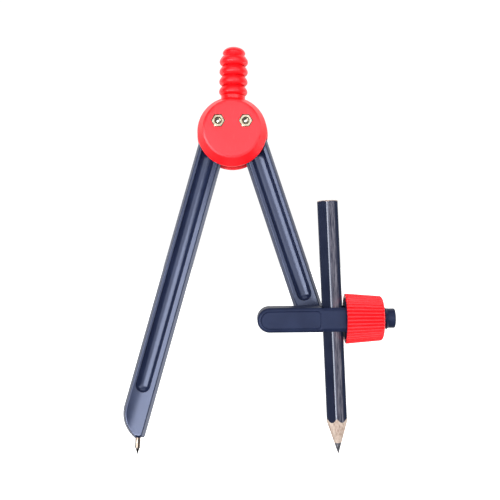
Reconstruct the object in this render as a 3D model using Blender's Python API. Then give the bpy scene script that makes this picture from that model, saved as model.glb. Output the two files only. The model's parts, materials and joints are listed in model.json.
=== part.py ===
"""School drafting compass with a clamp arm and a short pencil, as separate solids.

Upright: +Z up, +X to the right and +Y away from the viewer.  The origin is the centre of
the head's flat back face.  The needle leg is the left one, the pencil leg the right one.
All sizes are in metres, written as millimetres times MM.
"""
import math

import bmesh
import bpy
from mathutils import Matrix, Vector

MM = 0.001

# Head: two discs with the legs between them.  Depths are measured from the legs' mid-plane.
HEAD_HALF_DEPTH = 7.3 * MM
HEAD_INNER_FACE = 3.1 * MM
FRONT_RIM_RADIUS = 11.95 * MM
REAR_RIM_RADIUS = 12.4 * MM
PLATEAU_RADIUS = 9.9 * MM
PLATEAU_RISE = 0.7 * MM
BRIDGE_INNER_RADIUS = 10.75 * MM
BRIDGE_INSET = 0.15 * MM
BRIDGE_OVERLAP = 0.6 * MM
BRIDGE_HALF_ANGLE = math.radians(48)
MID_PLANE_Y = -HEAD_HALF_DEPTH

# Edge of a disc: depth, share of the way from rim to plateau, share of the plateau's rise.
DISC_EDGE = (
    (HEAD_INNER_FACE, 0.12, 0.0),
    (3.4 * MM, 0.0, 0.0),
    (3.9 * MM, 0.0, 0.0),
    (4.9 * MM, 0.2, 0.0),
    (5.3 * MM, 0.35, 0.1),
    (6.3 * MM, 0.62, 0.45),
    (6.95 * MM, 0.85, 0.85),
    (HEAD_HALF_DEPTH, 1.0, 1.0),
)

# Pivot screws, nuts and washers of the head (M2 hardware).
PIVOT_HALF_SPACING = 4.7 * MM
PIVOT_HEIGHT = 3.4 * MM
SCREW_RADIUS = 1.0 * MM
SCREW_LENGTH = 12.0 * MM
SCREW_BORE_RADIUS = 1.06 * MM
SCREW_HEAD_RADIUS = 1.9 * MM
SCREW_HEAD_HEIGHT = 1.3 * MM
WASHER_RADIUS = 2.5 * MM
WASHER_THICKNESS = 0.3 * MM
COUNTERBORE_RADIUS = 2.75 * MM
COUNTERBORE_DEPTH = 2.2 * MM
NUT_FLATS = 3.95 * MM
NUT_THICKNESS = 1.6 * MM
NUT_POCKET_FLATS = 4.15 * MM
NUT_POCKET_DEPTH = 1.75 * MM
NUT_CHAMFER = 0.1 * MM
SCREW_CHAMFER = 0.2 * MM
DRIVE_SLOT_HALF_WIDTH = 0.25 * MM
DRIVE_SLOT_DEPTH = 0.6 * MM
CUT_SPARE = 1.0 * MM
FIT_GAP = 0.05 * MM

# Grip: a stack of rounded ribs under a domed cap, leaning a little to the right.
GRIP_RIB_RADIUS = 4.93 * MM
GRIP_GROOVE_RADIUS = 3.7 * MM
GRIP_CAP_RADIUS = 3.93 * MM
GRIP_CAP_GROOVE_RADIUS = 3.45 * MM
GRIP_CAP_HEIGHT = 2.3 * MM
GRIP_NECK_RADIUS = 4.15 * MM
GRIP_PITCH = 3.477 * MM
GRIP_RIB_COUNT = 4
GRIP_FIRST_GROOVE = 12.95 * MM
GRIP_TOP = 30.0 * MM
GRIP_NECK_TOP = 12.6 * MM
GRIP_NECK_BOTTOM = 9.2 * MM
GRIP_LEAN = math.radians(1.2)
# One rib from groove to groove: share of the pitch, share of the way from groove to rib radius.
RIB_SHAPE = ((0.1, 0.58), (0.22, 0.86), (0.4, 1.0), (0.6, 0.87), (0.8, 0.53))

# Legs: bars with sloping edges and a round-bottomed groove on both faces.
LEG_HALF_WIDTH = 4.68 * MM
FOOT_HALF_WIDTH = 4.82 * MM
HUB_ROOT_STEP = 0.5 * MM
NEEDLE_BAR_OFFSET = -0.13 * MM
PENCIL_BAR_OFFSET = 0.36 * MM
LEG_HALF_THICKNESS = 3.0 * MM
LEG_BEVEL_WIDTH = 1.0 * MM
LEG_EDGE_HALF = 1.2 * MM
LEG_BAR_TOP = -5.0 * MM
GROOVE_HALF_WIDTH = 2.55 * MM
GROOVE_DEPTH = 2.0 * MM
GROOVE_TOP = -8.0 * MM
NEEDLE_LEG_TILT = math.radians(15.75)
PENCIL_LEG_TILT = math.radians(18.5)
NEEDLE_GROOVE_END = -96.9 * MM
PENCIL_GROOVE_END = -64.8 * MM
PENCIL_LEG_LENGTH = 70.9 * MM
BLADE_ARC_START = -103.0 * MM
BLADE_ARC_RADIUS = 11.0 * MM
BLADE_ARC_SWEEP = math.radians(66)
BLADE_HEEL_HEIGHT = -111.9 * MM

# Hub teeth: both hubs have the same pitch circle, so the legs open by equal angles.
HUB_RADIUS = 4.6 * MM
HUB_HALF_THICKNESS = 3.05 * MM
TOOTH_COUNT_FULL_CIRCLE = 12
TOOTH_TIP_RADIUS = 5.3 * MM
TOOTH_ROOT_RADIUS = 3.95 * MM
TOOTH_THICKNESS = 1.05 * MM
PRESSURE_ANGLE = math.radians(20)
HUB_TEETH = 4
RELIEF_START = math.radians(-44)

# Needle: pin in a ferrule, leaning in the foot so that it stands upright when open.
NEEDLE_TIP = (3.95 * MM, -118.65 * MM)
NEEDLE_LEAN = math.radians(-13.35)
PIN_RADIUS = 0.6 * MM
PIN_TIP_RADIUS = 0.05 * MM
PIN_TIP_ROUND = 0.06 * MM
PIN_SHOULDER_HEIGHT = 0.1 * MM
PIN_SHOULDER_RADIUS = 0.64 * MM
PIN_CONE_LENGTH = 2.3 * MM
PIN_LENGTH = 12.0 * MM
FERRULE_RADIUS = 0.9 * MM
FERRULE_BORE_RADIUS = 0.65 * MM
FERRULE_TOP = 14.0 * MM
FERRULE_CHAMFER = 0.15 * MM
FERRULE_SEAT_BOTTOM = 4.0 * MM
FERRULE_SEAT_TOP = 14.3 * MM

# Clamp arm: a bar with an eye for the pencil and a threaded stud on one axis.
ARM_TILT = math.radians(0.6)
ARM_AXIS_Y = -9.1 * MM
ARM_HALF_HEIGHT = 4.15 * MM
ARM_LEFT_CENTRE = -14.5 * MM
ARM_BODY_RIGHT = 3.4 * MM
ARM_BACK_Y = -3.25 * MM
ARM_FRONT_Y = -14.1 * MM
ARM_EDGE_BEVEL = 1.1 * MM
ARM_BACK_BEVEL = 0.3 * MM
ARM_CORNER_ROUND = 0.6 * MM
PANEL_HALF_HEIGHT = 2.75 * MM
PANEL_RIGHT = 2.3 * MM
PANEL_DEPTH = 0.35 * MM
PANEL_CORNER_ROUND = 1.2 * MM
EYE_RADIUS = 5.8 * MM
EYE_HALF_HEIGHT = 4.05 * MM
EYE_LEFT = 2.55 * MM
EYE_RIGHT = 14.6 * MM
SLOT_LEFT = 2.75 * MM
SLOT_RIGHT = 12.2 * MM
SLOT_HALF_WIDTH = 4.15 * MM
BOSS_RADIUS = 2.5 * MM
BOSS_BACK_Y = 2.9 * MM
BOSS_HOLE_RADIUS = 2.6 * MM
PILOT_RADIUS = 0.9 * MM
PILOT_SPARE = 0.5 * MM

# Thread shared by the stud and the knob.
THREAD_PITCH = 1.4 * MM
THREAD_MEAN_RADIUS = 3.5 * MM
THREAD_AMPLITUDE = 0.2 * MM
THREAD_CLEARANCE = 0.12 * MM
THREAD_COLUMNS = 20
THREAD_ROWS_PER_PITCH = 6
STUD_THREAD_END = 24.9 * MM
STUD_PLAIN_START = 25.4 * MM
STUD_END = 27.65 * MM
STUD_OVERLAP = 0.5 * MM
# Rounded end of the stud: distance from the end, distance inside its side.
STUD_END_ROUND = ((0.5 * MM, 0.0), (0.15 * MM, 0.15 * MM), (0.0, 0.5 * MM))

# Knob: a ribbed cup.  Its lengths are measured from its left rim.
KNOB_RIM_X = 10.95 * MM
KNOB_LENGTH = 12.5 * MM
KNOB_LEFT_RADIUS = 8.47 * MM
KNOB_RIGHT_RADIUS = 7.45 * MM
KNOB_RIB_COUNT = 40
KNOB_RIB_DEPTH = 0.4 * MM
KNOB_WASHER_POCKET_RADIUS = 7.0 * MM
KNOB_WASHER_POCKET_DEPTH = 0.95 * MM
KNOB_CUP_RADIUS = 6.1 * MM
KNOB_CUP_DEPTH = 4.45 * MM
# Outside of the knob: share of its length, distance below the taper, share of the rib depth.
KNOB_OUTSIDE = (
    (0.0, 0.45 * MM, 0.0),
    (0.025, 0.0, 1.0),
    (0.9, 0.0, 1.0),
    (0.965, 0.35 * MM, 1.0),
    (1.0, 1.1 * MM, 0.2),
)

# Thrust washer, keyed on the eye's flats.
THRUST_WASHER_X = 10.8 * MM
THRUST_WASHER_THICKNESS = 1.0 * MM
THRUST_WASHER_RADIUS = 6.85 * MM
THRUST_WASHER_GAP = 0.1 * MM

# Arm pivot fastener, behind the pencil leg.
ARM_WASHER_Y = 3.1 * MM
ARM_WASHER_THICKNESS = 0.5 * MM
ARM_WASHER_RADIUS = 4.0 * MM
ARM_WASHER_BORE = 1.2 * MM
SPRING_WASHER_Y = 3.65 * MM
SPRING_WASHER_THICKNESS = 0.6 * MM
SPRING_WASHER_RADIUS = 2.1 * MM
SPRING_WASHER_SPLIT = 0.5 * MM
ARM_SCREW_HEAD_Y = 4.3 * MM
ARM_SCREW_HEAD_HEIGHT = 1.5 * MM
ARM_SCREW_HEAD_RADIUS = 2.1 * MM
ARM_SCREW_TIP_RADIUS = 0.3 * MM
ARM_SCREW_TIP_LENGTH = 0.8 * MM
ARM_SCREW_HEAD_ROUND = 0.2 * MM
ARM_SCREW_RADIUS = 0.85 * MM
ARM_SCREW_LENGTH = 7.0 * MM

# Pencil: lengths along its axis from the arm's axis.
PENCIL_X = 6.74 * MM
PENCIL_LEAN = math.radians(-1.92)
PENCIL_FLATS = 6.9 * MM
PENCIL_CORNER_ROUND = 0.45 * MM
PENCIL_TURN = math.radians(-100)
PENCIL_TOP = 39.85 * MM
PENCIL_TIP = -45.4 * MM
CONE_APEX = -45.75 * MM
CONE_SLOPE = 0.3077
CONE_WIDE_RADIUS = 5.5 * MM
CASING_END_RADIUS = 1.26 * MM
LEAD_RADIUS = 1.15 * MM
LEAD_BORE_RADIUS = 1.2 * MM
LEAD_TIP_RADIUS = 0.09 * MM
LEAD_TIP_ROUND = 0.04 * MM
LEAD_NOSE_RADIUS = 0.155 * MM
LEAD_SUNK = 0.1 * MM

ROUND_SEGMENTS = 48
SMALL_SEGMENTS = 24
SHARP_ANGLE = math.radians(35)


# ---------------------------------------------------------------- scene and mesh helpers

def clear_scene():
    for obj in list(bpy.data.objects):
        bpy.data.objects.remove(obj, do_unlink=True)


def material(name, colour, roughness, metallic=0.0):
    finish = bpy.data.materials.new(name)
    finish.use_nodes = True
    shader = finish.node_tree.nodes["Principled BSDF"]
    shader.inputs["Base Color"].default_value = (*colour, 1.0)
    shader.inputs["Roughness"].default_value = roughness
    shader.inputs["Metallic"].default_value = metallic
    return finish


def red_plastic():
    return material("red_plastic", (0.95, 0.045, 0.05), 0.32)


def navy_plastic():
    return material("navy_plastic", (0.03, 0.038, 0.075), 0.3)


def nickel_plate():
    return material("nickel_plate", (0.78, 0.68, 0.52), 0.25, 1.0)


def bright_steel():
    return material("bright_steel", (0.72, 0.7, 0.68), 0.22, 1.0)


def dark_steel():
    return material("dark_steel", (0.2, 0.19, 0.19), 0.35, 1.0)


def pencil_wood():
    return material("pencil_wood", (0.72, 0.5, 0.32), 0.6)


def graphite():
    return material("graphite", (0.08, 0.08, 0.09), 0.4, 0.3)


def axis_empty(name, location, turn=0.0, parent=None):
    """An empty whose own Y axis is a joint's axis, turned about it by `turn`."""
    empty = bpy.data.objects.new(name, None)
    bpy.context.collection.objects.link(empty)
    empty.parent = parent
    empty.location = location
    empty.rotation_euler = (0.0, turn, 0.0)
    return empty


def solid(name, mesh_data, finish, parent=None):
    """A named object made from a bmesh, in its parent's frame."""
    mesh = bpy.data.meshes.new(name)
    mesh_data.to_mesh(mesh)
    mesh_data.free()
    mesh.materials.append(finish)
    mesh.shade_smooth()
    mesh.set_sharp_from_angle(angle=SHARP_ANGLE)
    obj = bpy.data.objects.new(name, mesh)
    bpy.context.collection.objects.link(obj)
    obj.parent = parent
    return obj


def combine(target, operation, name, mesh_data):
    """Add or cut a helper shape, which stays hidden, with a Boolean modifier."""
    tool = solid(name, mesh_data, target.data.materials[0], target.parent)
    tool.hide_render = True
    tool.display_type = "WIRE"
    modifier = target.modifiers.new(name, "BOOLEAN")
    modifier.operation = operation
    modifier.solver = "EXACT"
    modifier.object = tool


def bridge(mesh_data, lower, upper):
    """Join two rows of vertices with faces.  A row of one vertex is a point."""
    count = max(len(lower), len(upper))
    for index in range(count):
        following = (index + 1) % count
        corners = (
            lower[index % len(lower)],
            lower[following % len(lower)],
            upper[following % len(upper)],
            upper[index % len(upper)],
        )
        mesh_data.faces.new(list(dict.fromkeys(corners)))


def loft(sections, ring=False):
    """Skin a list of sections.  A ring joins the last section to the first."""
    mesh_data = bmesh.new()
    rows = []
    for section in sections:
        rows.append([mesh_data.verts.new(point) for point in section])
    for lower, upper in zip(rows, rows[1:]):
        bridge(mesh_data, lower, upper)
    if ring:
        bridge(mesh_data, rows[-1], rows[0])
    else:
        for row in (rows[0], rows[-1]):
            if len(row) > 2:
                mesh_data.faces.new(row)
    bmesh.ops.recalc_face_normals(mesh_data, faces=mesh_data.faces)
    return mesh_data


def along_x(outline, x):
    return [Vector((x, a, b)) for a, b in outline]


def along_y(outline, y):
    return [Vector((a, y, b)) for a, b in outline]


def along_z(outline, z):
    return [Vector((a, b, z)) for a, b in outline]


def arc(centre, radius, start, end, steps):
    """Points on an arc, from the angle start to the angle end, both included."""
    points = []
    for step in range(steps + 1):
        angle = start + (end - start) * step / steps
        points.append((centre[0] + radius * math.cos(angle), centre[1] + radius * math.sin(angle)))
    return points


def circle(radius, centre=(0.0, 0.0), segments=ROUND_SEGMENTS):
    if radius == 0.0:
        return [centre]
    return arc(centre, radius, 0.0, math.tau * (segments - 1) / segments, segments - 1)


def hexagon(flats, centre):
    """Hexagon with corners to the left and right."""
    return arc(centre, flats / 2 / math.cos(math.pi / 6), 0.0, math.tau * 5 / 6, 5)


def lathe(profile, place, centre=(0.0, 0.0), segments=ROUND_SEGMENTS, ring=False):
    """Turn (radius, height) points about the axis that `place` runs along."""
    sections = []
    for radius, height in profile:
        sections.append(place(circle(radius, centre, segments), height))
    return loft(sections, ring)


def prism(outline, place, low, high):
    return loft([place(outline, low), place(outline, high)])


def inset(outline, distance):
    """Move every edge of a convex, anticlockwise outline inwards."""
    corners = [Vector(point) for point in outline]
    moved = []
    for index, corner in enumerate(corners):
        before = (corner - corners[index - 1]).normalized()
        after = (corners[(index + 1) % len(corners)] - corner).normalized()
        bisector = Vector((-before.y - after.y, before.x + after.x))
        reach = distance / (bisector.normalized().dot(Vector((-after.y, after.x))))
        moved.append(tuple(corner + bisector.normalized() * reach))
    return moved


# ---------------------------------------------------------------- head

def pivot_centres():
    left = ("left", (-PIVOT_HALF_SPACING, PIVOT_HEIGHT))
    right = ("right", (PIVOT_HALF_SPACING, PIVOT_HEIGHT))
    return (left, right)


def disc_half(rim_radius, plateau_rise, side):
    """One of the head's discs.  side is -1 for the front one and 1 for the rear one."""
    sections = []
    for depth, inward, rise_share in DISC_EDGE:
        radius = rim_radius + (PLATEAU_RADIUS - rim_radius) * inward
        ring_points = circle(radius, (0.0, plateau_rise * rise_share))
        sections.append(along_y(ring_points, MID_PLANE_Y + side * depth))
    return loft(sections)


def bridge_wall():
    """Wall over the hubs that carries the rear disc."""
    start = math.pi / 2 - BRIDGE_HALF_ANGLE
    end = math.pi / 2 + BRIDGE_HALF_ANGLE
    outline = arc((0.0, 0.0), FRONT_RIM_RADIUS - BRIDGE_INSET, start, end, 20)
    outline += arc((0.0, 0.0), BRIDGE_INNER_RADIUS, end, start, 20)
    front = MID_PLANE_Y - HEAD_INNER_FACE - BRIDGE_OVERLAP
    back = MID_PLANE_Y + HEAD_INNER_FACE - FIT_GAP
    return prism(outline, along_y, front, back)


def neck_block():
    """Root of the grip, flat at the back where the rear disc passes behind it."""
    back = HEAD_INNER_FACE - FIT_GAP
    half_width = math.sqrt(GRIP_NECK_RADIUS ** 2 - back ** 2)
    start = math.atan2(back, -half_width)
    end = math.tau + math.atan2(back, half_width)
    outline = arc((0.0, 0.0), GRIP_NECK_RADIUS, start, end, 20)
    outline = [(x, MID_PLANE_Y + y) for x, y in outline]
    neck = prism(outline, along_z, GRIP_NECK_BOTTOM, GRIP_FIRST_GROOVE)
    neck.transform(Matrix.Rotation(GRIP_LEAN, 4, "Y"))
    return neck


def grip_mesh():
    """Rounded ribs from the neck up to the domed cap."""
    profile = [(GRIP_NECK_RADIUS, GRIP_NECK_TOP)]
    height = GRIP_FIRST_GROOVE
    for _ in range(GRIP_RIB_COUNT):
        profile.append((GRIP_GROOVE_RADIUS, height))
        for share, bulge in RIB_SHAPE:
            radius = GRIP_GROOVE_RADIUS + (GRIP_RIB_RADIUS - GRIP_GROOVE_RADIUS) * bulge
            profile.append((radius, height + GRIP_PITCH * share))
        height += GRIP_PITCH
    profile.append((GRIP_CAP_GROOVE_RADIUS, height))
    steps = 5
    for step in range(steps):
        angle = math.pi / 2 * step / steps
        rise = GRIP_CAP_HEIGHT * (math.sin(angle) - 1.0)
        profile.append((GRIP_CAP_RADIUS * math.cos(angle), GRIP_TOP + rise))
    profile.append((0.0, GRIP_TOP))
    grip = lathe(profile, along_z, (0.0, MID_PLANE_Y), SMALL_SEGMENTS)
    grip.transform(Matrix.Rotation(GRIP_LEAN, 4, "Y"))
    return grip


def grip_head(finish):
    head = solid("grip_head", disc_half(FRONT_RIM_RADIUS, PLATEAU_RISE, -1), finish)
    combine(head, "UNION", "bridge_shape", bridge_wall())
    combine(head, "UNION", "neck_shape", neck_block())
    combine(head, "UNION", "grip_shape", grip_mesh())
    front = MID_PLANE_Y - HEAD_HALF_DEPTH
    for name, centre in pivot_centres():
        outline = hexagon(NUT_POCKET_FLATS, centre)
        pocket = prism(outline, along_y, front - CUT_SPARE, front + NUT_POCKET_DEPTH)
        combine(head, "DIFFERENCE", "nut_pocket_" + name, pocket)
        bore = prism(circle(SCREW_BORE_RADIUS, centre, SMALL_SEGMENTS), along_y, front, MID_PLANE_Y)
        combine(head, "DIFFERENCE", "front_bore_" + name, bore)


def rear_cover(finish):
    cover = solid("rear_cover", disc_half(REAR_RIM_RADIUS, 0.0, 1), finish)
    for name, centre in pivot_centres():
        outline = circle(COUNTERBORE_RADIUS, centre, SMALL_SEGMENTS)
        recess = prism(outline, along_y, -COUNTERBORE_DEPTH, CUT_SPARE)
        combine(cover, "DIFFERENCE", "counterbore_" + name, recess)
        bore = prism(circle(SCREW_BORE_RADIUS, centre, SMALL_SEGMENTS), along_y, MID_PLANE_Y, 0.0)
        combine(cover, "DIFFERENCE", "rear_bore_" + name, bore)


def flat_ring(outer, inner, low, high):
    """A washer-like solid between an outer and an inner outline."""
    sections = [along_y(outer, low), along_y(outer, high), along_y(inner, high), along_y(inner, low)]
    return loft(sections, ring=True)


def screw_washer(name, centre, finish):
    low = -COUNTERBORE_DEPTH + FIT_GAP
    outer = circle(WASHER_RADIUS, centre, SMALL_SEGMENTS)
    inner = circle(SCREW_BORE_RADIUS, centre, SMALL_SEGMENTS)
    solid("screw_washer_" + name, flat_ring(outer, inner, low, low + WASHER_THICKNESS), finish)


def pivot_screw(name, centre, finish):
    """Slotted cheese-head screw, head at the back."""
    seat = -COUNTERBORE_DEPTH + WASHER_THICKNESS + 2 * FIT_GAP
    top = seat + SCREW_HEAD_HEIGHT
    profile = (
        (SCREW_RADIUS - SCREW_CHAMFER, seat - SCREW_LENGTH),
        (SCREW_RADIUS, seat - SCREW_LENGTH + SCREW_CHAMFER),
        (SCREW_RADIUS, seat),
        (SCREW_HEAD_RADIUS, seat),
        (SCREW_HEAD_RADIUS, top - SCREW_CHAMFER),
        (SCREW_HEAD_RADIUS - SCREW_CHAMFER, top),
    )
    screw = solid("pivot_screw_" + name, lathe(profile, along_y, centre, SMALL_SEGMENTS), finish)
    cut_drive_slot(screw, "slot_" + name, centre, SCREW_HEAD_RADIUS, top)


def cut_drive_slot(screw, name, centre, head_radius, top):
    """Screwdriver slot across a head whose outer face is at depth `top`."""
    half_length = head_radius + CUT_SPARE
    half_width = DRIVE_SLOT_HALF_WIDTH
    outline = (
        (centre[0] - half_length, centre[1] - half_width),
        (centre[0] + half_length, centre[1] - half_width),
        (centre[0] + half_length, centre[1] + half_width),
        (centre[0] - half_length, centre[1] + half_width),
    )
    combine(screw, "DIFFERENCE", name, prism(outline, along_y, top - DRIVE_SLOT_DEPTH, top + CUT_SPARE))


def hex_nut(name, centre, finish):
    """Nut in the front pocket, with its corners to the left and right."""
    front = MID_PLANE_Y - HEAD_HALF_DEPTH
    low = front + FIT_GAP
    high = low + NUT_THICKNESS
    hole = circle(SCREW_BORE_RADIUS, centre, SMALL_SEGMENTS)
    wide_hole = circle(SCREW_BORE_RADIUS + NUT_CHAMFER, centre, SMALL_SEGMENTS)
    sides = hexagon_ring(NUT_FLATS, centre)
    trimmed = hexagon_ring(NUT_FLATS - 2 * NUT_CHAMFER, centre)
    sections = [
        along_y(trimmed, low),
        along_y(sides, low + NUT_CHAMFER),
        along_y(sides, high - NUT_CHAMFER),
        along_y(trimmed, high),
        along_y(hole, high),
        along_y(hole, low + NUT_CHAMFER),
        along_y(wide_hole, low),
    ]
    solid("hex_nut_" + name, loft(sections, ring=True), finish)


def hexagon_ring(flats, centre):
    """Hexagon drawn with as many points as a small circle, so that the two can be joined."""
    points = []
    for index in range(SMALL_SEGMENTS):
        angle = math.tau * index / SMALL_SEGMENTS
        from_flat = (angle + math.pi / 6) % (math.pi / 3) - math.pi / 6
        offset = math.pi / 6 - abs(from_flat)
        reach = flats / 2 / math.cos(offset)
        points.append((centre[0] + reach * math.cos(angle), centre[1] + reach * math.sin(angle)))
    return points


# ---------------------------------------------------------------- legs

def involute(angle):
    return math.tan(angle) - angle


def tooth_half_angle(radius):
    """Half of the angle that a tooth fills at a radius, on an involute flank."""
    pitch_radius = PIVOT_HALF_SPACING
    base_radius = pitch_radius * math.cos(PRESSURE_ANGLE)
    flank = involute(math.acos(min(1.0, base_radius / radius)))
    return TOOTH_THICKNESS / 2 / pitch_radius + involute(PRESSURE_ANGLE) - flank


def tooth_points(centre_angle):
    """One tooth, from its lower root to its upper root."""
    base_radius = PIVOT_HALF_SPACING * math.cos(PRESSURE_ANGLE)
    radii = (TOOTH_ROOT_RADIUS, base_radius, (base_radius + TOOTH_TIP_RADIUS) / 2, TOOTH_TIP_RADIUS)
    points = []
    for radius in radii:
        angle = centre_angle - tooth_half_angle(max(radius, base_radius))
        points.append((radius * math.cos(angle), radius * math.sin(angle)))
    for radius in reversed(radii):
        angle = centre_angle + tooth_half_angle(max(radius, base_radius))
        points.append((radius * math.cos(angle), radius * math.sin(angle)))
    return points


def hub_outline(first_tooth):
    """Toothed hub of the needle leg: teeth towards +X, the bar's root below."""
    step = math.tau / TOOTH_COUNT_FULL_CIRCLE
    root_start = (TOOTH_ROOT_RADIUS * math.cos(RELIEF_START), TOOTH_ROOT_RADIUS * math.sin(RELIEF_START))
    outline = [root_start]
    for index in range(HUB_TEETH):
        outline += tooth_points(first_tooth + index * step)
    relief_end = first_tooth + (HUB_TEETH - 0.5) * step
    outline += arc((0.0, 0.0), HUB_RADIUS, relief_end, math.pi, 12)
    shoulder = LEG_BAR_TOP - HUB_ROOT_STEP
    outline.append((-HUB_RADIUS, shoulder))
    outline.append((HUB_RADIUS, shoulder))
    outline.append((HUB_RADIUS, LEG_BAR_TOP + HUB_ROOT_STEP))
    return outline


def mirrored(outline):
    return [(-x, z) for x, z in outline]


def bar_mesh(outline):
    """Leg bar: flat faces joined to upright edges by sloping sides."""
    face = inset(outline, LEG_BEVEL_WIDTH)
    sections = [
        along_y(face, -LEG_HALF_THICKNESS),
        along_y(outline, -LEG_EDGE_HALF),
        along_y(outline, LEG_EDGE_HALF),
        along_y(face, LEG_HALF_THICKNESS),
    ]
    return loft(sections)


def groove_mesh(face_y, end, offset):
    """Cutter with an elliptical section and rounded ends, centred on a face of the leg."""
    steps = 4
    sections = []
    for step in range(steps + 1):
        angle = math.pi / 2 * (1 - step / steps)
        height = GROOVE_TOP - GROOVE_HALF_WIDTH * (1 - math.sin(angle))
        sections.append((math.cos(angle), height))
    for step in range(steps + 1):
        angle = math.pi / 2 * step / steps
        height = end + GROOVE_HALF_WIDTH * (1 - math.sin(angle))
        sections.append((math.cos(angle), height))
    rows = []
    for share, height in sections:
        if share < 0.01:
            rows.append([Vector((offset, face_y, height))])
            continue
        ellipse = []
        for x, y in circle(share, segments=SMALL_SEGMENTS):
            ellipse.append((offset + GROOVE_HALF_WIDTH * x, face_y + GROOVE_DEPTH * y))
        rows.append(along_z(ellipse, height))
    return loft(rows)


def finish_leg(leg, name, hub, groove_end, offset):
    combine(leg, "UNION", name + "_hub", prism(hub, along_y, -HUB_HALF_THICKNESS, HUB_HALF_THICKNESS))
    for side, face_y in (("front", -LEG_HALF_THICKNESS), ("back", LEG_HALF_THICKNESS)):
        combine(leg, "DIFFERENCE", f"{name}_groove_{side}", groove_mesh(face_y, groove_end, offset))
    reach = 2 * LEG_HALF_THICKNESS
    bore = prism(circle(SCREW_BORE_RADIUS, segments=SMALL_SEGMENTS), along_y, -reach, reach)
    combine(leg, "DIFFERENCE", name + "_pivot_bore", bore)


def shifted(outline, offset):
    return [(x + offset, z) for x, z in outline]


def needle_leg(finish, axis):
    centre = (BLADE_ARC_RADIUS - FOOT_HALF_WIDTH, BLADE_ARC_START)
    outline = [(-LEG_HALF_WIDTH, LEG_BAR_TOP)]
    outline += arc(centre, BLADE_ARC_RADIUS, math.pi, math.pi + BLADE_ARC_SWEEP, 10)
    outline.append((FOOT_HALF_WIDTH, BLADE_HEEL_HEIGHT))
    outline.append((LEG_HALF_WIDTH, LEG_BAR_TOP))
    leg = solid("needle_leg", bar_mesh(shifted(outline, NEEDLE_BAR_OFFSET)), finish, axis)
    first_tooth = NEEDLE_LEG_TILT - math.radians(15)
    finish_leg(leg, "needle_leg", hub_outline(first_tooth), NEEDLE_GROOVE_END, NEEDLE_BAR_OFFSET)
    return leg


def pencil_leg(finish, axis):
    outline = arc((0.0, -PENCIL_LEG_LENGTH), LEG_HALF_WIDTH, math.pi, math.tau, 16)
    outline = [(-LEG_HALF_WIDTH, LEG_BAR_TOP)] + outline + [(LEG_HALF_WIDTH, LEG_BAR_TOP)]
    leg = solid("pencil_leg", bar_mesh(shifted(outline, PENCIL_BAR_OFFSET)), finish, axis)
    first_tooth = PENCIL_LEG_TILT - math.tau / TOOTH_COUNT_FULL_CIRCLE
    hub = mirrored(hub_outline(first_tooth))
    finish_leg(leg, "pencil_leg", hub, PENCIL_GROOVE_END, PENCIL_BAR_OFFSET)
    hole = circle(BOSS_HOLE_RADIUS, (0.0, -PENCIL_LEG_LENGTH), SMALL_SEGMENTS)
    reach = 2 * LEG_HALF_THICKNESS
    combine(leg, "DIFFERENCE", "boss_hole", prism(hole, along_y, -reach, reach))


# ---------------------------------------------------------------- needle

def needle_parts(leg, ferrule_finish, pin_finish, leg_axis):
    """Pin and ferrule, on an axis that starts at the needle's tip and runs up into the foot."""
    tip = Vector((NEEDLE_TIP[0], 0.0, NEEDLE_TIP[1]))
    needle_axis = axis_empty("needle_axis", tip, NEEDLE_LEAN, leg_axis)
    bore_profile = (
        (FERRULE_RADIUS + FIT_GAP, FERRULE_SEAT_BOTTOM),
        (FERRULE_RADIUS + FIT_GAP, FERRULE_SEAT_TOP),
    )
    combine(leg, "DIFFERENCE", "ferrule_bore", lathe(bore_profile, along_z, segments=SMALL_SEGMENTS))
    bpy.data.objects["ferrule_bore"].parent = needle_axis
    ferrule_profile = (
        (FERRULE_BORE_RADIUS, PIN_CONE_LENGTH + FIT_GAP),
        (FERRULE_RADIUS - FERRULE_CHAMFER, PIN_CONE_LENGTH + FIT_GAP),
        (FERRULE_RADIUS, PIN_CONE_LENGTH + FIT_GAP + FERRULE_CHAMFER),
        (FERRULE_RADIUS, FERRULE_TOP),
        (FERRULE_BORE_RADIUS, FERRULE_TOP),
    )
    ferrule = lathe(ferrule_profile, along_z, segments=SMALL_SEGMENTS, ring=True)
    solid("needle_ferrule", ferrule, ferrule_finish, needle_axis)
    pin_profile = (
        (0.0, 0.0),
        (PIN_TIP_RADIUS, PIN_TIP_ROUND),
        (PIN_SHOULDER_RADIUS, PIN_CONE_LENGTH - PIN_SHOULDER_HEIGHT),
        (PIN_RADIUS, PIN_CONE_LENGTH),
        (PIN_RADIUS, PIN_LENGTH),
    )
    solid("needle_pin", lathe(pin_profile, along_z, segments=SMALL_SEGMENTS), pin_finish, needle_axis)


# ---------------------------------------------------------------- clamp arm

def thread_section(x, radius_change, amplitude_share=1.0):
    """Ring of the right-hand thread at one place along the arm's axis."""
    points = []
    for index in range(THREAD_COLUMNS):
        angle = math.tau * index / THREAD_COLUMNS
        phase = math.tau * x / THREAD_PITCH - angle
        radius = THREAD_MEAN_RADIUS + radius_change
        radius += THREAD_AMPLITUDE * amplitude_share * math.cos(phase)
        radius -= THREAD_AMPLITUDE * (1 - amplitude_share)
        points.append((ARM_AXIS_Y + radius * math.cos(angle), radius * math.sin(angle)))
    return along_x(points, x)


def thread_rows(start, end):
    count = math.ceil((end - start) / THREAD_PITCH * THREAD_ROWS_PER_PITCH)
    return [start + (end - start) * index / count for index in range(count + 1)]


def stud_mesh():
    sections = []
    for x in thread_rows(EYE_RIGHT - STUD_OVERLAP, STUD_THREAD_END):
        sections.append(thread_section(x, 0.0))
    sections.append(thread_section((STUD_THREAD_END + STUD_PLAIN_START) / 2, 0.0, 0.5))
    sections.append(thread_section(STUD_PLAIN_START, 0.0, 0.0))
    for before_end, inward in STUD_END_ROUND:
        sections.append(thread_section(STUD_END - before_end, -inward, 0.0))
    return loft(sections)


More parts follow.
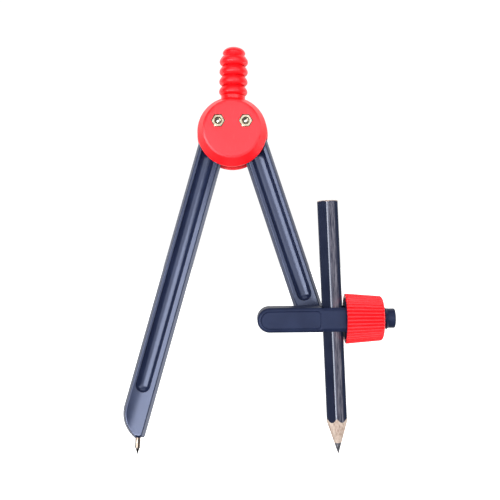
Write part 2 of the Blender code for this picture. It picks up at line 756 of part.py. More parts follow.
def eye_outline(spare):
    """Circle with its top, bottom and front cut off flat."""
    half_height = EYE_HALF_HEIGHT + spare
    points = []
    for y, z in circle(EYE_RADIUS + spare):
        depth = max(ARM_FRONT_Y - spare, ARM_AXIS_Y + y)
        points.append((depth, max(-half_height, min(half_height, z))))
    return points


def stadium(half_height, left_centre, right, radius_right):
    """Bar outline: half-round on the left, with rounded corners on the right."""
    outline = arc((left_centre, 0.0), half_height, math.pi / 2, math.pi * 1.5, 16)
    inner = half_height - radius_right
    outline += arc((right - radius_right, -inner), radius_right, -math.pi / 2, 0.0, 4)
    outline += arc((right - radius_right, inner), radius_right, 0.0, math.pi / 2, 4)
    return outline


def arm_body_mesh():
    outline = stadium(ARM_HALF_HEIGHT, ARM_LEFT_CENTRE, ARM_BODY_RIGHT, ARM_CORNER_ROUND)
    small_step = 0.35 * ARM_EDGE_BEVEL
    face_right = ARM_BODY_RIGHT - small_step
    face = stadium(ARM_HALF_HEIGHT - ARM_EDGE_BEVEL, ARM_LEFT_CENTRE, face_right, ARM_CORNER_ROUND / 3)
    sections = [
        along_y(inset(outline, ARM_BACK_BEVEL), ARM_BACK_Y),
        along_y(outline, ARM_BACK_Y - ARM_BACK_BEVEL),
        along_y(outline, ARM_FRONT_Y + ARM_EDGE_BEVEL),
        along_y(inset(outline, small_step), ARM_FRONT_Y + small_step),
        along_y(face, ARM_FRONT_Y),
    ]
    return loft(sections)


def clamp_arm(finish, axis):
    arm = solid("clamp_arm", arm_body_mesh(), finish, axis)
    panel = stadium(PANEL_HALF_HEIGHT, ARM_LEFT_CENTRE, PANEL_RIGHT, PANEL_CORNER_ROUND)
    panel_cut = prism(panel, along_y, ARM_FRONT_Y - CUT_SPARE, ARM_FRONT_Y + PANEL_DEPTH)
    combine(arm, "DIFFERENCE", "panel_cut", panel_cut)
    eye = prism(eye_outline(0.0), along_x, EYE_LEFT, EYE_RIGHT)
    combine(arm, "UNION", "eye_shape", eye)
    combine(arm, "UNION", "stud_shape", stud_mesh())
    boss_outline = circle(BOSS_RADIUS, segments=SMALL_SEGMENTS)
    boss = prism(boss_outline, along_y, ARM_BACK_Y - CUT_SPARE, BOSS_BACK_Y)
    combine(arm, "UNION", "boss_shape", boss)
    slot = (
        (ARM_AXIS_Y - SLOT_HALF_WIDTH, -2 * ARM_HALF_HEIGHT),
        (ARM_AXIS_Y + SLOT_HALF_WIDTH, -2 * ARM_HALF_HEIGHT),
        (ARM_AXIS_Y + SLOT_HALF_WIDTH, 2 * ARM_HALF_HEIGHT),
        (ARM_AXIS_Y - SLOT_HALF_WIDTH, 2 * ARM_HALF_HEIGHT),
    )
    combine(arm, "DIFFERENCE", "pencil_slot", prism(slot, along_x, SLOT_LEFT, SLOT_RIGHT))
    pilot_end = ARM_SCREW_HEAD_Y - ARM_SCREW_LENGTH - PILOT_SPARE
    pilot_outline = circle(PILOT_RADIUS, segments=SMALL_SEGMENTS)
    pilot = prism(pilot_outline, along_y, pilot_end, BOSS_BACK_Y + CUT_SPARE)
    combine(arm, "DIFFERENCE", "pilot_hole", pilot)


def arm_pivot_washer(finish, axis):
    outer = circle(ARM_WASHER_RADIUS, segments=SMALL_SEGMENTS)
    inner = circle(ARM_WASHER_BORE, segments=SMALL_SEGMENTS)
    washer = flat_ring(outer, inner, ARM_WASHER_Y, ARM_WASHER_Y + ARM_WASHER_THICKNESS)
    solid("arm_pivot_washer", washer, finish, axis)


def arm_spring_washer(finish, axis):
    """Split washer, sprung open a little at its gap."""
    half_gap = SPRING_WASHER_SPLIT / 2 / SPRING_WASHER_RADIUS
    sections = []
    steps = 22
    for step in range(steps + 1):
        angle = half_gap + (math.tau - 2 * half_gap) * step / steps
        corners = (
            (ARM_WASHER_BORE, SPRING_WASHER_Y),
            (SPRING_WASHER_RADIUS, SPRING_WASHER_Y),
            (SPRING_WASHER_RADIUS, SPRING_WASHER_Y + SPRING_WASHER_THICKNESS),
            (ARM_WASHER_BORE, SPRING_WASHER_Y + SPRING_WASHER_THICKNESS),
        )
        sections.append([Vector((r * math.cos(angle), y, r * math.sin(angle))) for r, y in corners])
    solid("arm_spring_washer", loft(sections), finish, axis)


def arm_pivot_screw(finish, axis):
    top = ARM_SCREW_HEAD_Y + ARM_SCREW_HEAD_HEIGHT
    profile = (
        (ARM_SCREW_TIP_RADIUS, ARM_SCREW_HEAD_Y - ARM_SCREW_LENGTH),
        (ARM_SCREW_RADIUS, ARM_SCREW_HEAD_Y - ARM_SCREW_LENGTH + ARM_SCREW_TIP_LENGTH),
        (ARM_SCREW_RADIUS, ARM_SCREW_HEAD_Y),
        (ARM_SCREW_HEAD_RADIUS, ARM_SCREW_HEAD_Y),
        (ARM_SCREW_HEAD_RADIUS, top - 3 * ARM_SCREW_HEAD_ROUND),
        (ARM_SCREW_HEAD_RADIUS - ARM_SCREW_HEAD_ROUND, top - ARM_SCREW_HEAD_ROUND),
        (ARM_SCREW_HEAD_RADIUS - 4 * ARM_SCREW_HEAD_ROUND, top),
    )
    screw = solid("arm_pivot_screw", lathe(profile, along_y, segments=SMALL_SEGMENTS), finish, axis)
    cut_drive_slot(screw, "arm_screw_slot", (0.0, 0.0), ARM_SCREW_HEAD_RADIUS, top)


def thrust_washer(finish, axis):
    """Washer whose hole fits the eye's flats, so that it can slide but not turn."""
    outer = [(ARM_AXIS_Y + y, z) for y, z in circle(THRUST_WASHER_RADIUS)]
    inner = eye_outline(THRUST_WASHER_GAP)
    low = THRUST_WASHER_X
    high = low + THRUST_WASHER_THICKNESS
    sections = [along_x(outer, low), along_x(outer, high), along_x(inner, high), along_x(inner, low)]
    solid("thrust_washer", loft(sections, ring=True), finish, axis)


# ---------------------------------------------------------------- knob

def knob_section(x, radius, rib_depth):
    """Ribbed ring of the knob: crests and valleys alternate."""
    points = []
    for index in range(2 * KNOB_RIB_COUNT):
        angle = math.tau * index / (2 * KNOB_RIB_COUNT)
        reach = radius - rib_depth * (index % 2)
        points.append((ARM_AXIS_Y + reach * math.cos(angle), reach * math.sin(angle)))
    return along_x(points, KNOB_RIM_X + x)


def knob_bore_mesh():
    """Washer pocket, cup and threaded hole, cut in one."""
    start = KNOB_RIM_X - CUT_SPARE
    pocket_floor = KNOB_RIM_X + KNOB_WASHER_POCKET_DEPTH
    cup_floor = KNOB_RIM_X + KNOB_CUP_DEPTH
    end = KNOB_RIM_X + KNOB_LENGTH + CUT_SPARE
    sections = []
    for radius, x in (
        (KNOB_WASHER_POCKET_RADIUS, start),
        (KNOB_WASHER_POCKET_RADIUS, pocket_floor),
        (KNOB_CUP_RADIUS, pocket_floor),
        (KNOB_CUP_RADIUS, cup_floor),
    ):
        ring_points = [(ARM_AXIS_Y + y, z) for y, z in circle(radius, segments=THREAD_COLUMNS * 2)]
        sections.append(along_x(ring_points, x))
    for x in thread_rows(cup_floor, end):
        section = thread_section(x, THREAD_CLEARANCE)
        doubled = []
        for index, point in enumerate(section):
            doubled.append(point)
            doubled.append((point + section[(index + 1) % len(section)]) / 2)
        sections.append(doubled)
    return loft(sections)


def clamp_knob(finish, axis):
    taper = KNOB_LEFT_RADIUS - KNOB_RIGHT_RADIUS
    sections = []
    for share, drop, depth_share in KNOB_OUTSIDE:
        radius = KNOB_LEFT_RADIUS - taper * share - drop
        sections.append(knob_section(KNOB_LENGTH * share, radius, KNOB_RIB_DEPTH * depth_share))
    knob = solid("clamp_knob", loft(sections), finish, axis)
    combine(knob, "DIFFERENCE", "knob_bore", knob_bore_mesh())


# ---------------------------------------------------------------- pencil

def pencil_section():
    """Hexagon with slightly rounded corners."""
    corner_radius = PENCIL_FLATS / 2 / math.cos(math.pi / 6)
    centre_reach = corner_radius - PENCIL_CORNER_ROUND / math.cos(math.pi / 6)
    points = []
    for index in range(6):
        turn = PENCIL_TURN + index * math.pi / 3
        centre = (centre_reach * math.cos(turn), centre_reach * math.sin(turn))
        points += arc(centre, PENCIL_CORNER_ROUND, turn - math.pi / 6, turn + math.pi / 6, 2)
    return points


def cone_height(radius):
    return CONE_APEX + radius / CONE_SLOPE


def pencil_casing(finish, axis):
    casing = solid("pencil_casing", prism(pencil_section(), along_z, PENCIL_TIP, PENCIL_TOP), finish, axis)
    sharpened = (
        (CASING_END_RADIUS, cone_height(CASING_END_RADIUS)),
        (CONE_WIDE_RADIUS, cone_height(CONE_WIDE_RADIUS)),
        (CONE_WIDE_RADIUS, PENCIL_TOP + CUT_SPARE),
    )
    combine(casing, "INTERSECT", "sharpened_shape", lathe(sharpened, along_z))
    bore = prism(circle(LEAD_BORE_RADIUS, segments=SMALL_SEGMENTS), along_z, 2 * PENCIL_TIP, 2 * PENCIL_TOP)
    combine(casing, "DIFFERENCE", "lead_bore", bore)


def pencil_lead(finish, axis):
    profile = (
        (0.0, PENCIL_TIP),
        (LEAD_TIP_RADIUS, PENCIL_TIP + LEAD_TIP_ROUND),
        (LEAD_NOSE_RADIUS, cone_height(LEAD_NOSE_RADIUS)),
        (LEAD_RADIUS, cone_height(LEAD_RADIUS)),
        (LEAD_RADIUS, PENCIL_TOP - LEAD_SUNK),
    )
    solid("pencil_lead", lathe(profile, along_z, segments=SMALL_SEGMENTS), finish, axis)


# ---------------------------------------------------------------- assembly

def build_head(red, nickel, steel):
    grip_head(red)
    rear_cover(red)
    for name, centre in pivot_centres():
        hex_nut(name, centre, nickel)
        pivot_screw(name, centre, steel)
        screw_washer(name, centre, steel)


def build_needle_leg(navy, nickel, steel):
    pivot = (-PIVOT_HALF_SPACING, MID_PLANE_Y, PIVOT_HEIGHT)
    axis = axis_empty("needle_leg_axis", pivot, NEEDLE_LEG_TILT)
    leg = needle_leg(navy, axis)
    needle_parts(leg, nickel, steel, axis)


def build_pencil_leg(navy, red, steel, wood, lead):
    pivot = (PIVOT_HALF_SPACING, MID_PLANE_Y, PIVOT_HEIGHT)
    leg_axis = axis_empty("pencil_leg_axis", pivot, -PENCIL_LEG_TILT)
    pencil_leg(navy, leg_axis)
    arm_pivot = (0.0, 0.0, -PENCIL_LEG_LENGTH)
    arm_axis = axis_empty("arm_axis", arm_pivot, PENCIL_LEG_TILT - ARM_TILT, leg_axis)
    clamp_arm(navy, arm_axis)
    arm_pivot_washer(steel, arm_axis)
    arm_spring_washer(steel, arm_axis)
    arm_pivot_screw(steel, arm_axis)
    thrust_washer(navy, arm_axis)
    clamp_knob(red, arm_axis)
    pencil_axis = axis_empty("pencil_axis", (PENCIL_X, ARM_AXIS_Y, 0.0), PENCIL_LEAN, arm_axis)
    pencil_casing(wood, pencil_axis)
    pencil_lead(lead, pencil_axis)


def main():
    clear_scene()
    red = red_plastic()
    navy = navy_plastic()
    steel = bright_steel()
    nickel = nickel_plate()
    build_head(red, nickel, steel)
    build_needle_leg(navy, nickel, dark_steel())
    build_pencil_leg(navy, red, steel, pencil_wood(), graphite())


main()
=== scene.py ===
"""Looks of the drafting compass: fine meshes, materials, light and camera around the frame."""
import json
from math import (
    acos, atan2, ceil, copysign, cos, hypot, pi, radians, sin, sqrt, tan, tau,
)

import bmesh
import bpy
from mathutils import Matrix, Vector


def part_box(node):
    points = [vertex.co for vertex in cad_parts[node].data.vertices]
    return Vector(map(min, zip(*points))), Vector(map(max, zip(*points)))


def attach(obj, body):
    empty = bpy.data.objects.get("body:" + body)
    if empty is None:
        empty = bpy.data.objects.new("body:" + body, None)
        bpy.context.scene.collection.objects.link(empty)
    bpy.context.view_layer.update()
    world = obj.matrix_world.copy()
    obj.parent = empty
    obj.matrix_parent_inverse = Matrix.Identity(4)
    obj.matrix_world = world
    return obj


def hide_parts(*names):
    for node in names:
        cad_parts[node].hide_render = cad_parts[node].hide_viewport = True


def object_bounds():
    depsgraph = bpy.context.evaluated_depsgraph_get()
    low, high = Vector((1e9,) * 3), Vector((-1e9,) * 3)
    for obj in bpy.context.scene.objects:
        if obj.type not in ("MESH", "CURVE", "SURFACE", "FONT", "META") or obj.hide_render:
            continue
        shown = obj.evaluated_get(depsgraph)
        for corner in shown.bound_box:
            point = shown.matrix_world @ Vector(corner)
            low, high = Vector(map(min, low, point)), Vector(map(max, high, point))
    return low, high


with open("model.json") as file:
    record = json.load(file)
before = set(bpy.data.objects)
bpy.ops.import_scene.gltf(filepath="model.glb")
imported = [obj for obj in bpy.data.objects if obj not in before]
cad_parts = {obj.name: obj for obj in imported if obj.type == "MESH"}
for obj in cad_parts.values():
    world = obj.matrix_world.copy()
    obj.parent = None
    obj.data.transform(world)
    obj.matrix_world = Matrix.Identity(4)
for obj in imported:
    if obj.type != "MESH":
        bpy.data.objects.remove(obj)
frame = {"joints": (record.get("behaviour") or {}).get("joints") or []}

CAD_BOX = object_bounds()
MM = 0.001

# ---- places read from the frame

JOINTS = {joint["name"]: joint for joint in frame["joints"]}
LEFT_PIVOT = Vector(JOINTS["needle_leg_swing"]["pos_m"])
RIGHT_PIVOT = Vector(JOINTS["pencil_leg_swing"]["pos_m"])
ARM_PIVOT = Vector(JOINTS["arm_swing"]["pos_m"])
KNOB_POINT = Vector(JOINTS["knob_turn"]["pos_m"])
ARM_DIRECTION = Vector(JOINTS["knob_turn"]["axis"])
PENCIL_DIRECTION = Vector(JOINTS["pencil_slide"]["axis"])

MID_Y = RIGHT_PIVOT.y
REAR_COVER_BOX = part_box("rear_cover")
BACK_Y = REAR_COVER_BOX[1].y
FRONT_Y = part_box("grip_head")[0].y
HEAD_HALF_DEPTH = BACK_Y - MID_Y
ARM_AXIS_Y = KNOB_POINT.y - MID_Y
PENCIL_TILT = atan2(ARM_PIVOT.x - RIGHT_PIVOT.x, RIGHT_PIVOT.z - ARM_PIVOT.z)
PENCIL_LEG_LENGTH = (ARM_PIVOT - RIGHT_PIVOT).length
ARM_TILT = atan2(ARM_DIRECTION.z, ARM_DIRECTION.x)
PENCIL_LEAN = atan2(-PENCIL_DIRECTION.x, PENCIL_DIRECTION.z)

# ---- sizes

# Head
HEAD_INNER_FACE = 3.1 * MM
FRONT_RIM_RADIUS = 11.95 * MM
REAR_RIM_RADIUS = (REAR_COVER_BOX[1].x - REAR_COVER_BOX[0].x) / 2
PLATEAU_RADIUS = 9.95 * MM
PLATEAU_RISE = 0.7 * MM
PLATEAU_LIP_WIDTH = 0.75 * MM
PLATEAU_LIP_DROP = 0.2 * MM
DISC_SHOULDER_DEPTH = 4.25 * MM
DISC_RISE_START = 4.7 * MM
BRIDGE_INNER_RADIUS = 10.75 * MM
BRIDGE_HALF_ANGLE = radians(48)
GRIP_RIB_RADIUS = 4.93 * MM
GRIP_GROOVE_RADIUS = 3.68 * MM
GRIP_CAP_RADIUS = 3.93 * MM
GRIP_CAP_GROOVE_RADIUS = 3.45 * MM
GRIP_CAP_HEIGHT = 2.3 * MM
GRIP_NECK_RADIUS = 4.15 * MM
GRIP_NECK_BOTTOM = 9.2 * MM
GRIP_NECK_TOP = 12.6 * MM
GRIP_PITCH = 3.477 * MM
GRIP_RIB_COUNT = 4
GRIP_FIRST_GROOVE = 12.95 * MM
GRIP_TOP = 30.0 * MM
GRIP_LEAN = radians(1.2)
RIB_LOWEST_AT = 1.357
RIB_FULLNESS = 0.6

# Screws, nuts and washers of the head
PIVOT_CENTRES = {"left": (LEFT_PIVOT.x, LEFT_PIVOT.z), "right": (RIGHT_PIVOT.x, RIGHT_PIVOT.z)}
SCREW_RADIUS = 1.0 * MM
SCREW_LENGTH = 12.0 * MM
SCREW_BORE_RADIUS = 1.06 * MM
SCREW_HEAD_RADIUS = 1.9 * MM
SCREW_HEAD_HEIGHT = 1.3 * MM
SCREW_PITCH = 0.4 * MM
SCREW_THREAD_AMPLITUDE = 0.09 * MM
SCREW_THREAD_END = 3.1 * MM
WASHER_RADIUS = 2.5 * MM
WASHER_THICKNESS = 0.3 * MM
COUNTERBORE_RADIUS = 2.75 * MM
COUNTERBORE_DEPTH = 2.2 * MM
NUT_FLATS = 3.75 * MM
NUT_THICKNESS = 1.6 * MM
NUT_POCKET_FLATS = 4.3 * MM
NUT_POCKET_DEPTH = 1.75 * MM
FIT_GAP = 0.05 * MM

# Legs
NEEDLE_TILT = radians(15.75)
LEG_HALF_WIDTH = 4.68 * MM
FOOT_HALF_WIDTH = 4.82 * MM
NEEDLE_BAR_OFFSET = -0.13 * MM
NEEDLE_GROOVE_OFFSET = -0.5 * MM
PENCIL_BAR_OFFSET = 0.36 * MM
LEG_HALF_THICKNESS = 3.0 * MM
LEG_BEVEL_WIDTH = 1.0 * MM
LEG_EDGE_HALF = 1.2 * MM
LEG_CORNER_ROUND = 0.5 * MM
LEG_BAR_TOP = -5.0 * MM
LEG_DISH = 0.55 * MM
LEG_CUT_REACH = 2 * LEG_HALF_THICKNESS
GROOVE_HALF_WIDTH = 2.55 * MM
GROOVE_DEPTH = 2.0 * MM
GROOVE_TOP = -8.0 * MM
NEEDLE_GROOVE_END = -96.9 * MM
PENCIL_GROOVE_END = -64.8 * MM
BLADE_ARC_START = -103.0 * MM
BLADE_ARC_RADIUS = 11.0 * MM
BLADE_ARC_SWEEP = radians(66)
BLADE_HEEL_HEIGHT = -111.9 * MM
HUB_RADIUS = 4.6 * MM
HUB_HALF_THICKNESS = 3.05 * MM
TOOTH_COUNT_FULL_CIRCLE = 12
TOOTH_TIP_RADIUS = 5.3 * MM
TOOTH_ROOT_RADIUS = 3.95 * MM
TOOTH_THICKNESS = 1.05 * MM
PRESSURE_ANGLE = radians(20)
HUB_TEETH = 4
RELIEF_START = radians(-44)
PITCH_RADIUS = (RIGHT_PIVOT.x - LEFT_PIVOT.x) / 2
BASE_RADIUS = PITCH_RADIUS * cos(PRESSURE_ANGLE)

# Needle
NEEDLE_TIP = Vector((3.95 * MM, 0.0, -118.65 * MM))
NEEDLE_LEAN = radians(-13.35)
PIN_RADIUS = 0.6 * MM
PIN_SHOULDER_RADIUS = 0.64 * MM
PIN_CONE_LENGTH = 2.3 * MM
PIN_LENGTH = 12.0 * MM
FERRULE_RADIUS = 0.9 * MM
FERRULE_BORE_RADIUS = 0.65 * MM
FERRULE_TOP = 14.0 * MM

# Clamp arm, stud and eye
ARM_HALF_HEIGHT = 4.15 * MM
ARM_LEFT_CENTRE = -14.5 * MM
ARM_BODY_RIGHT = 3.4 * MM
ARM_BACK_Y = -3.25 * MM
ARM_FRONT_Y = -14.1 * MM
ARM_EDGE_ROUND = 1.1 * MM
PANEL_HALF_HEIGHT = 2.75 * MM
PANEL_RIGHT = 2.3 * MM
PANEL_DEPTH = 0.35 * MM
EYE_RADIUS = 5.8 * MM
EYE_HALF_HEIGHT = 4.05 * MM
EYE_LEFT = 2.55 * MM
EYE_RIGHT = 14.6 * MM
SLOT_LEFT = 2.75 * MM
SLOT_RIGHT = 12.2 * MM
SLOT_HALF_WIDTH = 4.15 * MM
BOSS_RADIUS = 2.5 * MM
BOSS_BACK_Y = 2.9 * MM
BOSS_HOLE_RADIUS = 2.6 * MM
PILOT_RADIUS = 0.9 * MM
THREAD_PITCH = 1.4 * MM
THREAD_MEAN_RADIUS = 3.5 * MM
THREAD_AMPLITUDE = 0.2 * MM
THREAD_CLEARANCE = 0.12 * MM
STUD_THREAD_END = 24.9 * MM
STUD_PLAIN_START = 25.4 * MM
STUD_END = 27.65 * MM

# Knob and thrust washer
KNOB_RIM_X = 10.95 * MM
KNOB_LENGTH = 12.5 * MM
KNOB_LEFT_RADIUS = 8.47 * MM
KNOB_RIGHT_RADIUS = 7.45 * MM
KNOB_RIB_COUNT = 40
KNOB_RIB_DEPTH = 0.5 * MM
KNOB_WASHER_POCKET_RADIUS = 7.0 * MM
KNOB_WASHER_POCKET_DEPTH = 0.95 * MM
KNOB_CUP_RADIUS = 6.1 * MM
KNOB_CUP_DEPTH = 4.45 * MM
THRUST_WASHER_X = 10.8 * MM
THRUST_WASHER_THICKNESS = 1.0 * MM
THRUST_WASHER_RADIUS = 6.85 * MM
THRUST_WASHER_GAP = 0.1 * MM

# Arm pivot fastener
ARM_WASHER_Y = 3.1 * MM
ARM_WASHER_THICKNESS = 0.5 * MM
ARM_WASHER_RADIUS = 4.0 * MM
ARM_WASHER_BORE = 1.2 * MM
SPRING_WASHER_Y = 3.65 * MM
SPRING_WASHER_THICKNESS = 0.6 * MM
SPRING_WASHER_RADIUS = 2.1 * MM
SPRING_WASHER_SPLIT = 0.5 * MM
ARM_SCREW_HEAD_Y = 4.3 * MM
ARM_SCREW_HEAD_HEIGHT = 1.5 * MM
ARM_SCREW_HEAD_RADIUS = 2.1 * MM
ARM_SCREW_RADIUS = 0.85 * MM
ARM_SCREW_LENGTH = 7.0 * MM

# Pencil
PENCIL_X = 6.74 * MM
PENCIL_FLATS = 6.9 * MM
PENCIL_CORNER_ROUND = 0.9 * MM
PENCIL_TURN = radians(-95)
PENCIL_TOP = 39.85 * MM
PENCIL_TIP = -45.4 * MM
CONE_APEX = -45.75 * MM
CONE_SLOPE = 0.3077
LEAD_RADIUS = 1.15 * MM
LEAD_BORE_RADIUS = 1.2 * MM
LEAD_TIP_RADIUS = 0.11 * MM

ROUND_SEGMENTS = 128
SMALL_SEGMENTS = 64
SHARP_ANGLE = radians(32)
SMALL_ROUND = ((0.3, 0.0), (0.09, 0.09), (0.0, 0.3))  # inwards and along, in mm


# ---- frames of the pieces, each with its origin on a pivot or a point

def tilted(point, angle):
    return Matrix.Translation(point) @ Matrix.Rotation(angle, 4, "Y")


HEAD_FRAME = Matrix.Identity(4)
NEEDLE_LEG_FRAME = tilted(LEFT_PIVOT, NEEDLE_TILT)
PENCIL_LEG_FRAME = tilted(RIGHT_PIVOT, -PENCIL_TILT)
ARM_FRAME = tilted(ARM_PIVOT, -ARM_TILT)
PENCIL_FRAME = tilted(ARM_FRAME @ Vector((PENCIL_X, ARM_AXIS_Y, 0.0)), -PENCIL_LEAN)
NEEDLE_PLACE = tilted(NEEDLE_TIP, NEEDLE_LEAN)
NEEDLE_FRAME = NEEDLE_LEG_FRAME @ NEEDLE_PLACE


# ---- outlines

def polar(radius, angle, centre=(0.0, 0.0)):
    return (centre[0] + radius * cos(angle), centre[1] + radius * sin(angle))


def arc(centre, radius, start, end, steps):
    points = []
    for step in range(steps + 1):
        points.append(polar(radius, start + (end - start) * step / steps, centre))
    return points


def circle(radius, centre=(0.0, 0.0), segments=SMALL_SEGMENTS):
    if radius == 0.0:
        return [centre]
    return arc(centre, radius, 0.0, tau * (segments - 1) / segments, segments - 1)


def corner_radius(flats):
    """Radius to the corners of a hexagon."""
    return flats / 2 / cos(pi / 6)


def hexagon(flats, centre):
    return arc(centre, corner_radius(flats), 0.0, tau * 5 / 6, 5)


def rectangle(centre, half_width, half_height):
    left = centre[0] - half_width
    right = centre[0] + half_width
    bottom = centre[1] - half_height
    top = centre[1] + half_height
    return [(left, bottom), (right, bottom), (right, top), (left, top)]


def rounded(corners, steps=6):
    """Round a polyline.  Each corner is (a, b, radius), and the two ends stay sharp."""
    points = [corners[0][:2]]
    for before, corner, after in zip(corners, corners[1:], corners[2:]):
        here = Vector(corner[:2])
        to_before = (Vector(before[:2]) - here).normalized()
        to_after = (Vector(after[:2]) - here).normalized()
        if corner[2] == 0.0:
            points.append(tuple(here))
            continue
        half_angle = to_before.angle(to_after) / 2
        reach = corner[2] / tan(half_angle)
        middle = here + (to_before + to_after).normalized() * corner[2] / sin(half_angle)
        first = here + to_before * reach - middle
        last = here + to_after * reach - middle
        sweep = first.angle_signed(last)
        for step in range(steps + 1):
            spoke = Matrix.Rotation(-sweep * step / steps, 2) @ first
            points.append(tuple(middle + spoke))
    points.append(corners[-1][:2])
    return points


def inset(outline, distance):
    """Move every edge of a convex, anticlockwise outline inwards."""
    corners = [Vector(point) for point in outline]
    moved = []
    for index, corner in enumerate(corners):
        before = (corner - corners[index - 1]).normalized()
        after = (corners[(index + 1) % len(corners)] - corner).normalized()
        bisector = Vector((-before.y - after.y, before.x + after.x)).normalized()
        reach = distance / bisector.dot(Vector((-after.y, after.x)))
        moved.append(tuple(corner + bisector * reach))
    return moved


def along_x(outline, x):
    """Stand an outline up at one place along an axis, as in the two functions below."""
    return [Vector((x, a, b)) for a, b in outline]


def along_y(outline, y):
    return [Vector((a, y, b)) for a, b in outline]


def along_z(outline, z):
    return [Vector((a, b, z)) for a, b in outline]


# ---- meshes

def bridge(mesh_data, lower, upper):
    """Join two rings of vertices with faces; either may be a single point."""
    count = max(len(lower), len(upper))
    for index in range(count):
        following = (index + 1) % count
        corners = (
            lower[index % len(lower)],
            lower[following % len(lower)],
            upper[following % len(upper)],
            upper[index % len(upper)],
        )
        mesh_data.faces.new(list(dict.fromkeys(corners)))


def loft(sections, ring=False):
    """Skin a list of sections.  A ring joins the last section to the first."""
    mesh_data = bmesh.new()
    rows = []
    for section in sections:
        rows.append([mesh_data.verts.new(point) for point in section])
    for lower, upper in zip(rows, rows[1:]):
        bridge(mesh_data, lower, upper)
    if ring:
        bridge(mesh_data, rows[-1], rows[0])
    else:
        for row in (rows[0], rows[-1]):
            if len(row) > 2:
                mesh_data.faces.new(row)
    bmesh.ops.recalc_face_normals(mesh_data, faces=mesh_data.faces)
    return mesh_data


def turned(profile, place, centre=(0.0, 0.0), segments=SMALL_SEGMENTS):
    """Circles for the (radius, height) points of a shape turned about an axis."""
    return [place(circle(radius, centre, segments), height) for radius, height in profile]


def lathe(profile, place, centre=(0.0, 0.0), segments=SMALL_SEGMENTS, ring=False):
    return loft(turned(profile, place, centre, segments), ring)


def prism(outline, place, low, high):
    return loft([place(outline, low), place(outline, high)])


def cut(target, mesh_data):
    combine(target, "DIFFERENCE", mesh_data)


def join(target, mesh_data):
    combine(target, "UNION", mesh_data)


def rod(radius, low, high, centre=(0.0, 0.0), place=along_y):
    """Plain round bar, for bosses and bores."""
    return prism(circle(radius, centre), place, low, high)


def new_object(name, mesh_data, finish, matrix):
    mesh = bpy.data.meshes.new(name)
    mesh_data.to_mesh(mesh)
    mesh_data.free()
    mesh.materials.append(finish)
    obj = bpy.data.objects.new(name, mesh)
    bpy.context.scene.collection.objects.link(obj)
    obj.matrix_world = matrix
    return obj


def bake(obj):
    """Turn an object's modifiers into its mesh."""
    bpy.context.view_layer.update()
    graph = bpy.context.evaluated_depsgraph_get()
    baked = bpy.data.meshes.new_from_object(obj.evaluated_get(graph))
    obj.modifiers.clear()
    obj.data = baked


def soften(obj, width, segments=2, angle=28):
    """Round the edges of a moulding a little, as a mould does."""
    modifier = obj.modifiers.new("edge_round", "BEVEL")
    modifier.width = width
    modifier.segments = segments
    modifier.limit_method = "ANGLE"
    modifier.angle_limit = radians(angle)
    modifier.use_clamp_overlap = True
    bake(obj)


def combine(target, operation, mesh_data, round_width=0.0):
    """Add or cut a helper shape."""
    tool = new_object("helper_shape", mesh_data, target.data.materials[0], target.matrix_world)
    if round_width > 0.0:
        soften(tool, round_width)
    modifier = target.modifiers.new("combine", "BOOLEAN")
    modifier.operation = operation
    modifier.solver = "EXACT"
    modifier.object = tool
    bake(target)
    bpy.data.objects.remove(tool, do_unlink=True)


def new_piece(node_name, mesh_data, finish, matrix):
    return new_object("shown_" + node_name, mesh_data, finish, matrix)


def show(obj, body):
    """Shade a finished piece, and let it stand for its CAD node on that node's body."""
    obj.data.shade_smooth()
    obj.data.set_sharp_from_angle(angle=SHARP_ANGLE)
    modifier = obj.modifiers.new("flat_faces_first", "WEIGHTED_NORMAL")
    modifier.keep_sharp = True
    bake(obj)
    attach(obj, body)
    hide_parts(obj.name.removeprefix("shown_"))


# ---- materials

def set_inputs(tree, target, values):
    """Link sockets to, or set, a node's inputs.  A colour is given without its alpha."""
    for name, value in values.items():
        socket = target.inputs[name]
        if isinstance(value, bpy.types.NodeSocket):
            tree.links.new(value, socket)
        elif socket.type == "RGBA":
            socket.default_value = (*value, 1.0)
        else:
            socket.default_value = value


def node(tree, kind, inputs=None, **settings):
    made = tree.nodes.new(kind)
    for name, value in settings.items():
        setattr(made, name, value)
    set_inputs(tree, made, inputs or {})
    return made


def new_material(name):
    finish = bpy.data.materials.new(name)
    finish.use_nodes = True
    tree = finish.node_tree
    tree.nodes.clear()
    shader = tree.nodes.new("ShaderNodeBsdfPrincipled")
    output = tree.nodes.new("ShaderNodeOutputMaterial")
    tree.links.new(shader.outputs["BSDF"], output.inputs["Surface"])
    return finish, tree, shader


def object_coordinates(tree, scale=(1.0, 1.0, 1.0)):
    place = node(tree, "ShaderNodeTexCoord")
    mapping = node(tree, "ShaderNodeMapping", {"Vector": place.outputs["Object"], "Scale": scale})
    return mapping.outputs["Vector"]


def noise(tree, vector, scale, detail=3.0, rough=0.5):
    """Noise whose scale counts per metre: 500 gives patches of about 2 mm."""
    made = node(tree, "ShaderNodeTexNoise", {
        "Vector": vector, "Scale": scale, "Detail": detail, "Roughness": rough,
    })
    return made.outputs["Fac"]


def streaks(tree, scale, detail=2.0, rough=0.5):
    """Noise with its own scale along each axis of the piece."""
    return noise(tree, object_coordinates(tree, scale), 1.0, detail, rough)


def remap(tree, value, low, high, to_low=0.0, to_high=1.0):
    made = node(tree, "ShaderNodeMapRange", {
        "Value": value, "From Min": low, "From Max": high, "To Min": to_low, "To Max": to_high,
    })
    return made.outputs["Result"]


def mix_colour(tree, share, first, second):
    """Mix two colours; in colour mode the mix node's colours are inputs 6 and 7."""
    inputs = {0: share, 6: first, 7: second}
    return node(tree, "ShaderNodeMix", inputs, data_type="RGBA").outputs[2]


def calculate(tree, operation, first, second):
    inputs = {0: first, 1: second}
    return node(tree, "ShaderNodeMath", inputs, operation=operation).outputs[0]


def multiply(tree, first, second):
    return calculate(tree, "MULTIPLY", first, second)


def add_values(tree, first, second):
    return calculate(tree, "ADD", first, second)


